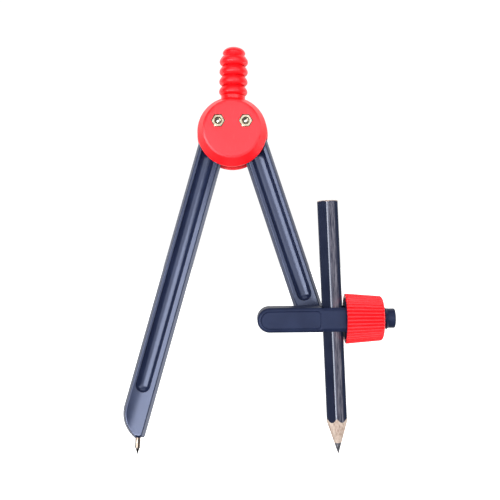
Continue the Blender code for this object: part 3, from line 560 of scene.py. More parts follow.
def edge_share(tree, radius):
    """0 on open surfaces and 1 along edges."""
    rounded_normal = node(tree, "ShaderNodeBevel", {"Radius": radius}, samples=6)
    geometry = node(tree, "ShaderNodeNewGeometry")
    normals = {0: rounded_normal.outputs["Normal"], 1: geometry.outputs["Normal"]}
    likeness = node(tree, "ShaderNodeVectorMath", normals, operation="DOT_PRODUCT")
    return remap(tree, likeness.outputs["Value"], 0.8, 0.97, 1.0, 0.0)


def crevice_share(tree, distance):
    """1 deep in narrow gaps and 0 on open surfaces: where painted shade goes."""
    occlusion = node(tree, "ShaderNodeAmbientOcclusion", {"Distance": distance}, samples=8)
    return remap(tree, occlusion.outputs["AO"], 0.15, 0.6, 1.0, 0.0)


def scuffs(tree, along, fineness, low, high):
    """Faint, long scratches: noise stretched along one axis of the piece."""
    scale = [fineness] * 3
    scale[along] = fineness * 0.06
    return remap(tree, streaks(tree, scale, 4.0, 0.6), low, high)


def bump(tree, shader, height, strength, distance):
    made = node(tree, "ShaderNodeBump", {
        "Height": height, "Strength": strength, "Distance": distance,
    })
    set_inputs(tree, shader, {"Normal": made.outputs["Normal"]})


def moulded_plastic(name, base, light, worn_and_edge_highlight, crevice_shade, sheen, gloss, roughness, scuff_axis):
    """Injection-moulded plastic: uneven tone, fine grain, faint scuffs, paler edges that are wear
    and a painted highlight, and painted shade in crevices.
    """
    finish, tree, shader = new_material(name)
    place = object_coordinates(tree)
    tone = remap(tree, noise(tree, place, 160.0), 0.3, 0.7)
    colour = mix_colour(tree, tone, base, light)
    # Paler edges, in patches: wear, and a painted highlight along the edges.
    edge_wear_and_highlight = multiply(tree, edge_share(tree, 0.12 * MM), noise(tree, place, 900.0))
    colour = mix_colour(tree, edge_wear_and_highlight, colour, worn_and_edge_highlight)
    marks = scuffs(tree, scuff_axis, 4200.0, 0.6, 0.75)
    colour = mix_colour(tree, multiply(tree, marks, 0.12), colour, worn_and_edge_highlight)
    # Narrow crevices take the darkest tone: painted shade.
    colour = mix_colour(tree, crevice_share(tree, 0.5 * MM), colour, crevice_shade)
    patches = noise(tree, place, 500.0, 4.0)
    patchy = remap(tree, patches, 0.0, 1.0, roughness - 0.07, roughness + 0.07)
    set_inputs(tree, shader, {
        "Base Color": colour,
        "Roughness": add_values(tree, patchy, multiply(tree, marks, 0.05)),
        "IOR": 1.5,
        "Specular Tint": sheen,
        "Specular IOR Level": gloss,
    })
    waves = multiply(tree, noise(tree, place, 500.0), 3.0)
    grain = add_values(tree, noise(tree, place, 2600.0, 2.0), waves)
    bump(tree, shader, grain, 0.05, 0.02 * MM)
    return finish


def metal(name, base, tarnish, roughness, brush_axis):
    """Bright metal with fine brushing, patches of tarnish and painted shade in narrow hollows."""
    finish, tree, shader = new_material(name)
    place = object_coordinates(tree)
    patches = remap(tree, noise(tree, place, 600.0, 3.0), 0.45, 0.7)
    colour = mix_colour(tree, multiply(tree, patches, 0.6), base, tarnish)
    # Narrow hollows are painted near-black olive: painted shade.
    colour = mix_colour(tree, crevice_share(tree, 0.4 * MM), colour, (0.03, 0.035, 0.02))
    brushed = scuffs(tree, brush_axis, 9000.0, 0.35, 0.7)
    dull = remap(tree, patches, 0.0, 1.0, roughness, roughness + 0.18)
    rough = add_values(tree, dull, multiply(tree, brushed, 0.1))
    set_inputs(tree, shader, {"Base Color": colour, "Roughness": rough, "Metallic": 1.0})
    bump(tree, shader, brushed, 0.15, 0.01 * MM)
    return finish


def pencil_lacquer():
    """Glossy navy lacquer; the flat that faces forwards is rubbed grey along its middle, and the
    corners are paler, from wear and a painted highlight.
    """
    finish, tree, shader = new_material("pencil_lacquer")
    place = object_coordinates(tree)
    tone = remap(tree, noise(tree, place, 120.0), 0.3, 0.7)
    colour = mix_colour(tree, tone, (0.011, 0.015, 0.034), (0.018, 0.023, 0.046))
    axes = node(tree, "ShaderNodeSeparateXYZ", {"Vector": place})
    left_side = remap(tree, axes.outputs["X"], -0.2 * MM, 0.2 * MM)
    right_side = remap(tree, axes.outputs["X"], 1.7 * MM, 2.3 * MM, 1.0, 0.0)
    facing = remap(tree, axes.outputs["Y"], -0.5 * MM, 0.0, 1.0, 0.0)
    strip = multiply(tree, multiply(tree, left_side, right_side), facing)
    fibres = remap(tree, streaks(tree, (2400.0, 2400.0, 130.0), 4.0, 0.7), 0.4, 0.62, 0.1)
    rubbed = multiply(tree, strip, fibres)
    colour = mix_colour(tree, multiply(tree, rubbed, 0.8), colour, (0.22, 0.21, 0.25))
    # Paler corners, in patches: wear, and a painted highlight along the corners.
    worn_and_edge_highlight = multiply(tree, edge_share(tree, 0.2 * MM), noise(tree, place, 1500.0))
    colour = mix_colour(tree, multiply(tree, worn_and_edge_highlight, 0.8), colour, (0.4, 0.4, 0.46))
    set_inputs(tree, shader, {
        "Base Color": colour,
        "Roughness": add_values(tree, 0.12, multiply(tree, rubbed, 0.35)),
        "Specular Tint": (0.75, 0.8, 1.0),
        "Coat Weight": 0.5,
        "Coat Roughness": 0.06,
    })
    waves = streaks(tree, (700.0, 700.0, 90.0))
    bump(tree, shader, waves, 0.2, 0.03 * MM)
    return finish


def bare_wood():
    """Sharpened cedar: grain along the pencil and turned shaving marks."""
    finish, tree, shader = new_material("bare_wood")
    grain = streaks(tree, (3200.0, 3200.0, 160.0), 5.0, 0.65)
    bands = streaks(tree, (700.0, 700.0, 60.0))
    grain_share = remap(tree, grain, 0.35, 0.65)
    colour = mix_colour(tree, grain_share, (0.6, 0.48, 0.4), (0.27, 0.18, 0.14))
    band_share = remap(tree, bands, 0.4, 0.7, 0.0, 0.6)
    colour = mix_colour(tree, band_share, colour, (0.68, 0.58, 0.5))
    set_inputs(tree, shader, {"Base Color": colour, "Roughness": 0.62})
    shavings = streaks(tree, (300.0, 300.0, 5200.0))
    bump(tree, shader, add_values(tree, grain, multiply(tree, shavings, 0.6)), 0.5, 0.05 * MM)
    return finish


def graphite():
    """Sharpened pencil lead: dark, slightly shiny, with turned marks."""
    finish, tree, shader = new_material("graphite")
    marks = streaks(tree, (600.0, 600.0, 9000.0), 3.0)
    colour = mix_colour(tree, marks, (0.05, 0.05, 0.06), (0.13, 0.13, 0.15))
    rough = remap(tree, marks, 0.3, 0.7, 0.3, 0.5)
    set_inputs(tree, shader, {"Base Color": colour, "Roughness": rough, "Metallic": 0.35})
    bump(tree, shader, marks, 0.4, 0.02 * MM)
    return finish


# Base, lighter patches, worn edges that also carry a painted highlight, painted shade for
# crevices and tint of the shine.
RED_TONES = (
    (0.96, 0.002, 0.006),
    (0.99, 0.006, 0.012),
    (0.98, 0.2, 0.18),
    (0.12, 0.0, 0.005),
    (0.76, 0.8, 0.9),
)
NAVY_TONES = (
    (0.011, 0.016, 0.043),
    (0.015, 0.022, 0.056),
    (0.05, 0.055, 0.085),
    (0.002, 0.003, 0.008),
    (0.66, 0.74, 1.0),
)
RED = moulded_plastic("moulded_red", *RED_TONES, 0.5, 0.33, 2)
RED_KNOB = moulded_plastic("moulded_red_knob", *RED_TONES, 0.55, 0.33, 0)
NAVY = moulded_plastic("moulded_navy", *NAVY_TONES, 0.5, 0.2, 2)
NAVY_ARM = moulded_plastic("moulded_navy_arm", *NAVY_TONES, 0.18, 0.36, 0)
NAVY_WASHER = moulded_plastic("moulded_navy_washer", *NAVY_TONES, 0.05, 0.6, 0)
NICKEL = metal("plated_nickel", (0.36, 0.32, 0.24), (0.24, 0.2, 0.13), 0.24, 0)
FERRULE_NICKEL = metal("ferrule_nickel", (0.22, 0.18, 0.15), (0.12, 0.08, 0.06), 0.2, 2)
STEEL = metal("zinc_steel", (0.6, 0.58, 0.54), (0.34, 0.31, 0.27), 0.26, 0)
NEEDLE_STEEL = metal("needle_steel", (0.09, 0.08, 0.08), (0.05, 0.04, 0.04), 0.26, 2)
LACQUER = pencil_lacquer()
WOOD = bare_wood()
LEAD = graphite()


# ---- head

def disc_half(rim_radius, plateau_rise, side):
    """One of the head's discs, with a rounded rim, a sloping shoulder and a flat plateau."""
    corners = (
        (rim_radius - 0.5 * MM, HEAD_INNER_FACE, 0.0),
        (rim_radius, HEAD_INNER_FACE, 0.2 * MM),
        (rim_radius, DISC_SHOULDER_DEPTH, 0.9 * MM),
        (PLATEAU_RADIUS, HEAD_HALF_DEPTH - PLATEAU_LIP_DROP, 0.2 * MM),
        (PLATEAU_RADIUS - PLATEAU_LIP_WIDTH, HEAD_HALF_DEPTH, 0.15 * MM),
        (PLATEAU_RADIUS - 1.5 * MM, HEAD_HALF_DEPTH, 0.0),
    )
    sections = []
    for radius, depth in rounded(corners, 8):
        share = max(0.0, (depth - DISC_RISE_START) / (HEAD_HALF_DEPTH - DISC_RISE_START))
        outline = circle(radius, (0.0, plateau_rise * share), ROUND_SEGMENTS)
        sections.append(along_y(outline, MID_Y + side * depth))
    return loft(sections)


def bridge_wall():
    start = pi / 2 - BRIDGE_HALF_ANGLE
    end = pi / 2 + BRIDGE_HALF_ANGLE
    outline = arc((0.0, 0.0), FRONT_RIM_RADIUS - 0.15 * MM, start, end, 48)
    outline += arc((0.0, 0.0), BRIDGE_INNER_RADIUS, end, start, 48)
    front = MID_Y - HEAD_INNER_FACE - 0.6 * MM
    return prism(outline, along_y, front, MID_Y + HEAD_INNER_FACE - FIT_GAP)


def neck_block():
    back = HEAD_INNER_FACE - FIT_GAP
    half_width = sqrt(GRIP_NECK_RADIUS ** 2 - back ** 2)
    start = atan2(back, -half_width)
    end = tau + atan2(back, half_width)
    outline = [(x, MID_Y + y) for x, y in arc((0.0, 0.0), GRIP_NECK_RADIUS, start, end, 48)]
    neck = prism(outline, along_z, GRIP_NECK_BOTTOM, GRIP_FIRST_GROOVE)
    neck.transform(Matrix.Rotation(GRIP_LEAN, 4, "Y"))
    return neck


def grip_mesh():
    """Rounded ribs, steeper below than above, from the neck up to the domed cap."""
    profile = [(GRIP_NECK_RADIUS, GRIP_NECK_TOP)]
    steps = 20
    for rib in range(GRIP_RIB_COUNT):
        base = GRIP_FIRST_GROOVE + rib * GRIP_PITCH
        for step in range(steps):
            share = 0.5 - 0.5 * cos(pi * step / steps)
            bulge = sin(pi * (1 - share) ** RIB_LOWEST_AT) ** RIB_FULLNESS
            radius = GRIP_GROOVE_RADIUS + (GRIP_RIB_RADIUS - GRIP_GROOVE_RADIUS) * bulge
            profile.append((radius, base + GRIP_PITCH * share))
    profile.append((GRIP_CAP_GROOVE_RADIUS, GRIP_FIRST_GROOVE + GRIP_RIB_COUNT * GRIP_PITCH))
    for step in range(steps):
        angle = pi / 2 * step / steps
        rise = GRIP_CAP_HEIGHT * (sin(angle) - 1.0)
        profile.append((GRIP_CAP_RADIUS * cos(angle), GRIP_TOP + rise))
    profile.append((0.0, GRIP_TOP))
    grip = lathe(profile, along_z, (0.0, MID_Y), 96)
    grip.transform(Matrix.Rotation(GRIP_LEAN, 4, "Y"))
    return grip


def show_grip_head():
    head = new_piece("grip_head", disc_half(FRONT_RIM_RADIUS, PLATEAU_RISE, -1), RED, HEAD_FRAME)
    combine(head, "UNION", bridge_wall(), 0.15 * MM)
    join(head, neck_block())
    join(head, grip_mesh())
    for centre in PIVOT_CENTRES.values():
        outline = hexagon(NUT_POCKET_FLATS, centre)
        pocket = prism(outline, along_y, FRONT_Y - 1.0 * MM, FRONT_Y + NUT_POCKET_DEPTH)
        cut(head, pocket)
        cut(head, rod(SCREW_BORE_RADIUS, FRONT_Y, MID_Y, centre))
    show(head, "head")


def show_rear_cover():
    cover = new_piece("rear_cover", disc_half(REAR_RIM_RADIUS, 0.0, 1), RED, HEAD_FRAME)
    floor = BACK_Y - COUNTERBORE_DEPTH
    for centre in PIVOT_CENTRES.values():
        cut(cover, rod(COUNTERBORE_RADIUS, floor, BACK_Y + 1.0 * MM, centre))
        cut(cover, rod(SCREW_BORE_RADIUS, MID_Y, BACK_Y, centre))
    show(cover, "head")


def flat_ring(outer, inner, low, high, centre=(0.0, 0.0), edge=0.06 * MM):
    """A washer between two radii, with its edges broken."""
    profile = (
        (outer - edge, low),
        (outer, low + edge),
        (outer, high - edge),
        (outer - edge, high),
        (inner + edge, high),
        (inner, high - edge),
        (inner, low + edge),
        (inner + edge, low),
    )
    return lathe(profile, along_y, centre, ring=True)


def thread_rows(start, end, pitch, rows_per_pitch):
    count = ceil((end - start) / pitch * rows_per_pitch)
    return [start + (end - start) * index / count for index in range(count + 1)]


def thread_outline(centre, mean, amplitude, pitch, height):
    """Ring of a right-hand thread at one height along its axis."""
    points = []
    for index in range(SMALL_SEGMENTS):
        angle = tau * index / SMALL_SEGMENTS
        wave = cos(tau * height / pitch - angle)
        radius = mean + amplitude * wave * (1.5 - 0.5 * wave * wave)
        points.append(polar(radius, angle, centre))
    return points


def show_pivot_screw(name, centre):
    """Slotted cheese-head screw whose threaded end shows inside the nut."""
    seat = BACK_Y - COUNTERBORE_DEPTH + WASHER_THICKNESS + 2 * FIT_GAP
    top = seat + SCREW_HEAD_HEIGHT
    end = seat - SCREW_LENGTH
    tip = ((0.2 * MM, end), (0.5 * MM, end + 0.08 * MM), (0.72 * MM, end + 0.25 * MM))
    sections = turned(tip, along_y, centre)
    mean = SCREW_RADIUS - 0.1 * MM
    for y in thread_rows(end + 0.3 * MM, end + SCREW_THREAD_END, SCREW_PITCH, 8):
        outline = thread_outline(centre, mean, SCREW_THREAD_AMPLITUDE, SCREW_PITCH, y)
        sections.append(along_y(outline, y))
    head = rounded((
        (SCREW_RADIUS, end + SCREW_THREAD_END + 0.2 * MM, 0.0),
        (SCREW_RADIUS, seat, 0.0),
        (SCREW_HEAD_RADIUS, seat, 0.05 * MM),
        (SCREW_HEAD_RADIUS, top, 0.22 * MM),
        (SCREW_HEAD_RADIUS - 0.6 * MM, top, 0.0),
    ), 4)
    sections += turned(head, along_y, centre)
    screw = new_piece("pivot_screw_" + name, loft(sections), STEEL, HEAD_FRAME)
    cut_drive_slot(screw, centre, SCREW_HEAD_RADIUS, top)
    show(screw, "head")


def cut_drive_slot(screw, centre, head_radius, top):
    outline = rectangle(centre, head_radius + 0.5 * MM, 0.25 * MM)
    cut(screw, prism(outline, along_y, top - 0.6 * MM, top + 0.6 * MM))


def show_screw_washer(name, centre):
    low = BACK_Y - COUNTERBORE_DEPTH + FIT_GAP
    ring = flat_ring(WASHER_RADIUS, SCREW_BORE_RADIUS, low, low + WASHER_THICKNESS, centre)
    show(new_piece("screw_washer_" + name, ring, STEEL, HEAD_FRAME), "head")


def show_hex_nut(name, centre):
    """Nut with corners left and right, turned chamfers and a countersunk hole."""
    low = FRONT_Y + FIT_GAP
    high = low + NUT_THICKNESS
    body = prism(hexagon(NUT_FLATS, centre), along_y, low, high)
    nut = new_piece("hex_nut_" + name, body, NICKEL, HEAD_FRAME)
    reach = corner_radius(NUT_FLATS) + 0.1 * MM
    chamfer = 0.18 * MM
    chamfered = (
        (NUT_FLATS / 2 - 0.02 * MM, low - 0.0005 * MM),
        (reach, low + chamfer),
        (reach, high - chamfer),
        (NUT_FLATS / 2 - 0.02 * MM, high + 0.0005 * MM),
    )
    combine(nut, "INTERSECT", lathe(chamfered, along_y, centre, 96))
    hole = (
        (SCREW_BORE_RADIUS + 0.24 * MM, low - 0.02 * MM),
        (SCREW_BORE_RADIUS, low + 0.2 * MM),
        (SCREW_BORE_RADIUS, high + 0.3 * MM),
    )
    cut(nut, lathe(hole, along_y, centre))
    show(nut, "head")


# ---- legs

def involute(angle):
    return tan(angle) - angle


def tooth_half_angle(radius):
    """Half a tooth's angle at a radius; below the base circle its sides are radial."""
    flank = involute(acos(min(1.0, BASE_RADIUS / radius)))
    return TOOTH_THICKNESS / 2 / PITCH_RADIUS + involute(PRESSURE_ANGLE) - flank


def tooth_points(centre_angle):
    middle = (BASE_RADIUS + TOOTH_TIP_RADIUS) / 2
    radii = (TOOTH_ROOT_RADIUS, BASE_RADIUS, middle, TOOTH_TIP_RADIUS)
    points = []
    for side, order in ((-1, radii), (1, reversed(radii))):
        for radius in order:
            points.append(polar(radius, centre_angle + side * tooth_half_angle(radius)))
    return points


def hub_outline(first_tooth):
    """Toothed hub of the needle leg: teeth towards +X, the bar's root below."""
    step = tau / TOOTH_COUNT_FULL_CIRCLE
    outline = [polar(TOOTH_ROOT_RADIUS, RELIEF_START)]
    for index in range(HUB_TEETH):
        outline += tooth_points(first_tooth + index * step)
    relief_end = first_tooth + (HUB_TEETH - 0.5) * step
    outline += arc((0.0, 0.0), HUB_RADIUS, relief_end, pi, 24)
    shoulder = LEG_BAR_TOP - 0.5 * MM
    outline.append((-HUB_RADIUS, shoulder))
    outline.append((HUB_RADIUS, shoulder))
    outline.append((HUB_RADIUS, LEG_BAR_TOP + 0.5 * MM))
    return outline


def groove_mesh(face_y, end, offset):
    """Cutter with an elliptical section and rounded ends, centred on a face of the leg."""
    steps = 12
    sections = []
    for step in range(steps + 1):
        angle = pi / 2 * (1 - step / steps)
        sections.append((cos(angle), GROOVE_TOP - GROOVE_HALF_WIDTH * (1 - sin(angle))))
    for step in range(steps + 1):
        angle = pi / 2 * step / steps
        sections.append((cos(angle), end + GROOVE_HALF_WIDTH * (1 - sin(angle))))
    rows = []
    for share, height in sections:
        if share < 0.01:
            rows.append([Vector((offset, face_y, height))])
            continue
        ellipse = []
        for x, y in circle(share):
            ellipse.append((offset + GROOVE_HALF_WIDTH * x, face_y + GROOVE_DEPTH * y))
        rows.append(along_z(ellipse, height))
    return loft(rows)


def dish(obj, offset):
    """Hollow both faces of a leg a little between its edges."""
    mesh_data = bmesh.new()
    mesh_data.from_mesh(obj.data)
    slices = 14
    for index in range(1, slices):
        x = offset - LEG_HALF_WIDTH + 2 * LEG_HALF_WIDTH * index / slices
        everything = mesh_data.verts[:] + mesh_data.edges[:] + mesh_data.faces[:]
        bmesh.ops.bisect_plane(
            mesh_data, geom=everything, plane_co=(x, 0.0, 0.0), plane_no=(1.0, 0.0, 0.0))
    for vertex in mesh_data.verts:
        share = abs(vertex.co.y) / LEG_HALF_THICKNESS
        across = min(1.0, abs(vertex.co.x - offset) / FOOT_HALF_WIDTH)
        drop = LEG_DISH * (1 - across ** 2) * share
        vertex.co.y -= copysign(drop, vertex.co.y)
    mesh_data.to_mesh(obj.data)
    mesh_data.free()


def show_leg(name, bar, offset, hub, groove_offset, groove_end, matrix, own_cut):
    """Bevelled, grooved and dished bar with a toothed hub and a bore for its pivot screw."""
    outline = [(x + offset, z) for x, z in bar]
    edge_profile = rounded((
        (LEG_BEVEL_WIDTH + 0.5 * MM, -LEG_HALF_THICKNESS, 0.0),
        (LEG_BEVEL_WIDTH, -LEG_HALF_THICKNESS, LEG_CORNER_ROUND),
        (0.0, -LEG_EDGE_HALF, 0.2 * MM),
        (0.0, LEG_EDGE_HALF, 0.2 * MM),
        (LEG_BEVEL_WIDTH, LEG_HALF_THICKNESS, LEG_CORNER_ROUND),
        (LEG_BEVEL_WIDTH + 0.5 * MM, LEG_HALF_THICKNESS, 0.0),
    ), 5)
    sections = [along_y(inset(outline, distance), y) for distance, y in edge_profile]
    leg = new_piece(name, loft(sections), NAVY, matrix)
    for face_y in (-LEG_HALF_THICKNESS, LEG_HALF_THICKNESS):
        cut(leg, groove_mesh(face_y, groove_end, groove_offset))
    soften(leg, 0.16 * MM, 3)
    dish(leg, offset)
    join(leg, prism(hub, along_y, -HUB_HALF_THICKNESS, HUB_HALF_THICKNESS))
    cut(leg, rod(SCREW_BORE_RADIUS, -LEG_CUT_REACH, LEG_CUT_REACH))
    cut(leg, own_cut)
    show(leg, name)


def show_needle_leg():
    centre = (BLADE_ARC_RADIUS - FOOT_HALF_WIDTH, BLADE_ARC_START)
    outline = [(-LEG_HALF_WIDTH, LEG_BAR_TOP)]
    outline += arc(centre, BLADE_ARC_RADIUS, pi, pi + BLADE_ARC_SWEEP, 28)
    outline += [(FOOT_HALF_WIDTH, BLADE_HEEL_HEIGHT), (LEG_HALF_WIDTH, LEG_BAR_TOP)]
    bore_profile = (
        (FERRULE_RADIUS + FIT_GAP, 4.0 * MM),
        (FERRULE_RADIUS + FIT_GAP, FERRULE_TOP + 0.3 * MM),
    )
    bore = lathe(bore_profile, along_z)
    bore.transform(NEEDLE_PLACE)
    hub = hub_outline(NEEDLE_TILT - radians(15))
    show_leg(
        "needle_leg", outline, NEEDLE_BAR_OFFSET, hub,
        NEEDLE_GROOVE_OFFSET, NEEDLE_GROOVE_END, NEEDLE_LEG_FRAME, bore)


def show_pencil_leg():
    end = (0.0, -PENCIL_LEG_LENGTH)
    outline = [(-LEG_HALF_WIDTH, LEG_BAR_TOP)]
    outline += arc(end, LEG_HALF_WIDTH, pi, tau, 40)
    outline.append((LEG_HALF_WIDTH, LEG_BAR_TOP))
    hub = [(-x, z) for x, z in hub_outline(PENCIL_TILT - tau / TOOTH_COUNT_FULL_CIRCLE)]
    hole = rod(BOSS_HOLE_RADIUS, -LEG_CUT_REACH, LEG_CUT_REACH, end)
    show_leg(
        "pencil_leg", outline, PENCIL_BAR_OFFSET, hub,
        PENCIL_BAR_OFFSET, PENCIL_GROOVE_END, PENCIL_LEG_FRAME, hole)


# ---- needle

def show_needle():
    ferrule_profile = rounded((
        (FERRULE_BORE_RADIUS, PIN_CONE_LENGTH + 0.2 * MM, 0.0),
        (FERRULE_BORE_RADIUS, PIN_CONE_LENGTH + FIT_GAP, 0.03 * MM),
        (FERRULE_RADIUS - 0.06 * MM, PIN_CONE_LENGTH + FIT_GAP, 0.05 * MM),
        (FERRULE_RADIUS, PIN_CONE_LENGTH + 0.3 * MM, 0.05 * MM),
        (FERRULE_RADIUS, FERRULE_TOP, 0.1 * MM),
        (FERRULE_BORE_RADIUS, FERRULE_TOP, 0.0),
    ), 4)
    sleeve = lathe(ferrule_profile, along_z, ring=True)
    ferrule = new_piece("needle_ferrule", sleeve, FERRULE_NICKEL, NEEDLE_FRAME)
    show(ferrule, "needle_leg")
    pin_profile = (
        (0.0, 0.0),
        (0.035 * MM, 0.02 * MM),
        (0.06 * MM, 0.1 * MM),
        (0.34 * MM, PIN_CONE_LENGTH * 0.52),
        (PIN_SHOULDER_RADIUS - 0.02 * MM, PIN_CONE_LENGTH - 0.25 * MM),
        (PIN_SHOULDER_RADIUS, PIN_CONE_LENGTH - 0.1 * MM),
        (PIN_RADIUS, PIN_CONE_LENGTH),
        (PIN_RADIUS, PIN_LENGTH),
    )
    pin_mesh = lathe(pin_profile, along_z)
    show(new_piece("needle_pin", pin_mesh, NEEDLE_STEEL, NEEDLE_FRAME), "needle_leg")


# ---- clamp arm

def stadium(half_height, left_centre, right, radius_right):
    """Bar outline: half-round on the left, with rounded corners on the right."""
    outline = arc((left_centre, 0.0), half_height, pi / 2, pi * 1.5, 48)
    inner = half_height - radius_right
    outline += arc((right - radius_right, -inner), radius_right, -pi / 2, 0.0, 8)
    outline += arc((right - radius_right, inner), radius_right, 0.0, pi / 2, 8)
    return outline


def arm_body_mesh():
    """Bar with a small round at the back edge and a large one at the front edge."""
    sections = []
    for drop, inside in SMALL_ROUND:
        outline = stadium(ARM_HALF_HEIGHT - drop * MM, ARM_LEFT_CENTRE, ARM_BODY_RIGHT, 0.5 * MM)
        sections.append(along_y(outline, ARM_BACK_Y - inside * MM))
    steps = 10
    for step in range(steps + 1):
        angle = pi / 2 * step / steps
        shrink = ARM_EDGE_ROUND * (1 - cos(angle))
        y = ARM_FRONT_Y + ARM_EDGE_ROUND * (1 - sin(angle))
        right = ARM_BODY_RIGHT - shrink * 0.3
        outline = stadium(ARM_HALF_HEIGHT - shrink, ARM_LEFT_CENTRE, right, 0.5 * MM)
        sections.append(along_y(outline, y))
    return loft(sections)


def panel_mesh():
    """Cutter for the shallow panel, with sloping sides."""
    sections = []
    floor = PANEL_DEPTH / MM
    for spread, y in ((0.55, -0.2), (0.1, 0.16), (0.0, floor - 0.06), (-0.14, floor)):
        half_height = PANEL_HALF_HEIGHT + spread * MM
        outline = stadium(half_height, ARM_LEFT_CENTRE, PANEL_RIGHT + spread * MM, 1.2 * MM)
        sections.append(along_y(outline, ARM_FRONT_Y + y * MM))
    return loft(sections)


def eye_outline(spare):
    """Circle with its top, bottom and front cut off flat."""
    half_height = EYE_HALF_HEIGHT + spare
    points = []
    for y, z in circle(EYE_RADIUS + spare, segments=ROUND_SEGMENTS):
        depth = max(ARM_FRONT_Y - spare, ARM_AXIS_Y + y)
        points.append((depth, max(-half_height, min(half_height, z))))
    return points


def eye_mesh():
    sections = [along_x(eye_outline(0.0), EYE_LEFT)]
    for drop, inside in reversed(SMALL_ROUND):
        sections.append(along_x(eye_outline(-drop * MM), EYE_RIGHT - inside * MM))
    return loft(sections)


def stud_mesh():
    centre = (ARM_AXIS_Y, 0.0)
    sections = []
    for x in thread_rows(EYE_RIGHT - 0.5 * MM, STUD_PLAIN_START, THREAD_PITCH, 18):
        fade = min(1.0, max(0.0, (STUD_PLAIN_START - x) / (STUD_PLAIN_START - STUD_THREAD_END)))
        mean = THREAD_MEAN_RADIUS - THREAD_AMPLITUDE * (1 - fade)
        outline = thread_outline(centre, mean, THREAD_AMPLITUDE * fade, THREAD_PITCH, x)
        sections.append(along_x(outline, x))
    plain = THREAD_MEAN_RADIUS - THREAD_AMPLITUDE
    end = rounded((
        (plain, STUD_PLAIN_START + 0.1 * MM, 0.0),
        (plain, STUD_END, 0.35 * MM),
        (plain - 0.6 * MM, STUD_END, 0.0),
    ))
    return loft(sections + turned(end, along_x, centre))


def show_clamp_arm():
    arm = new_piece("clamp_arm", arm_body_mesh(), NAVY_ARM, ARM_FRAME)
    cut(arm, panel_mesh())
    join(arm, eye_mesh())
    join(arm, stud_mesh())
    join(arm, rod(BOSS_RADIUS, ARM_BACK_Y - 1.0 * MM, BOSS_BACK_Y))
    slot = rectangle((ARM_AXIS_Y, 0.0), SLOT_HALF_WIDTH, 2 * ARM_HALF_HEIGHT)
    cut(arm, prism(slot, along_x, SLOT_LEFT, SLOT_RIGHT))
    pilot_end = ARM_SCREW_HEAD_Y - ARM_SCREW_LENGTH - 0.5 * MM
    cut(arm, rod(PILOT_RADIUS, pilot_end, BOSS_BACK_Y + 1.0 * MM))
    show(arm, "arm")


def show_arm_pivot_washer():
    high = ARM_WASHER_Y + ARM_WASHER_THICKNESS
    ring = flat_ring(ARM_WASHER_RADIUS, ARM_WASHER_BORE, ARM_WASHER_Y, high)
    show(new_piece("arm_pivot_washer", ring, STEEL, ARM_FRAME), "arm")


def show_arm_spring_washer():
    """Ring of square section with a gap at its split."""
    half_gap = SPRING_WASHER_SPLIT / 2 / SPRING_WASHER_RADIUS
    high = SPRING_WASHER_Y + SPRING_WASHER_THICKNESS
    corners = (
        (ARM_WASHER_BORE, SPRING_WASHER_Y),
        (SPRING_WASHER_RADIUS, SPRING_WASHER_Y),
        (SPRING_WASHER_RADIUS, high),
        (ARM_WASHER_BORE, high),
    )
    sections = []
    steps = 60
    for step in range(steps + 1):
        angle = half_gap + (tau - 2 * half_gap) * step / steps
        sections.append([Vector((r * cos(angle), y, r * sin(angle))) for r, y in corners])
    ring = loft(sections)
    show(new_piece("arm_spring_washer", ring, STEEL, ARM_FRAME), "arm")


def show_arm_pivot_screw():
    top = ARM_SCREW_HEAD_Y + ARM_SCREW_HEAD_HEIGHT
    profile = rounded((
        (0.2 * MM, ARM_SCREW_HEAD_Y - ARM_SCREW_LENGTH, 0.0),
        (ARM_SCREW_RADIUS, ARM_SCREW_HEAD_Y - ARM_SCREW_LENGTH + 0.9 * MM, 0.1 * MM),
        (ARM_SCREW_RADIUS, ARM_SCREW_HEAD_Y, 0.0),
        (ARM_SCREW_HEAD_RADIUS, ARM_SCREW_HEAD_Y, 0.05 * MM),
        (ARM_SCREW_HEAD_RADIUS, top, 0.65 * MM),
        (0.9 * MM, top, 0.0),
    ), 6)
    screw = new_piece("arm_pivot_screw", lathe(profile, along_y), STEEL, ARM_FRAME)
    cut_drive_slot(screw, (0.0, 0.0), ARM_SCREW_HEAD_RADIUS, top)
    show(screw, "arm")


def show_thrust_washer():
    outer = circle(THRUST_WASHER_RADIUS, (ARM_AXIS_Y, 0.0), ROUND_SEGMENTS)
    inner = eye_outline(THRUST_WASHER_GAP)
    low = THRUST_WASHER_X
    high = low + THRUST_WASHER_THICKNESS
    sections = [along_x(outer, low), along_x(outer, high)]
    sections += [along_x(inner, high), along_x(inner, low)]
    washer = new_piece("thrust_washer", loft(sections, ring=True), NAVY_WASHER, ARM_FRAME)
    show(washer, "thrust_washer")


# ---- knob

def knob_outline(radius, rib_depth):
    """Rounded ribs that meet in narrow grooves."""
    columns = KNOB_RIB_COUNT * 10
    points = []
    for index in range(columns):
        angle = tau * index / columns
        dip = 1 - abs(cos(KNOB_RIB_COUNT / 2 * angle)) ** 0.8
        points.append(polar(radius - rib_depth * dip, angle, (ARM_AXIS_Y, 0.0)))
    return points


def knob_bore_mesh():
    start = KNOB_RIM_X - 1.0 * MM
    pocket_floor = KNOB_RIM_X + KNOB_WASHER_POCKET_DEPTH
    cup_floor = KNOB_RIM_X + KNOB_CUP_DEPTH
    end = KNOB_RIM_X + KNOB_LENGTH + 1.0 * MM
    centre = (ARM_AXIS_Y, 0.0)
    cup = (
        (KNOB_WASHER_POCKET_RADIUS, start),
        (KNOB_WASHER_POCKET_RADIUS, pocket_floor),
        (KNOB_CUP_RADIUS, pocket_floor),
        (KNOB_CUP_RADIUS, cup_floor),
    )
    sections = turned(cup, along_x, centre)
    mean = THREAD_MEAN_RADIUS + THREAD_CLEARANCE
    for x in thread_rows(cup_floor, end, THREAD_PITCH, 16):
        outline = thread_outline(centre, mean, THREAD_AMPLITUDE, THREAD_PITCH, x)
        sections.append(along_x(outline, x))
    return loft(sections)


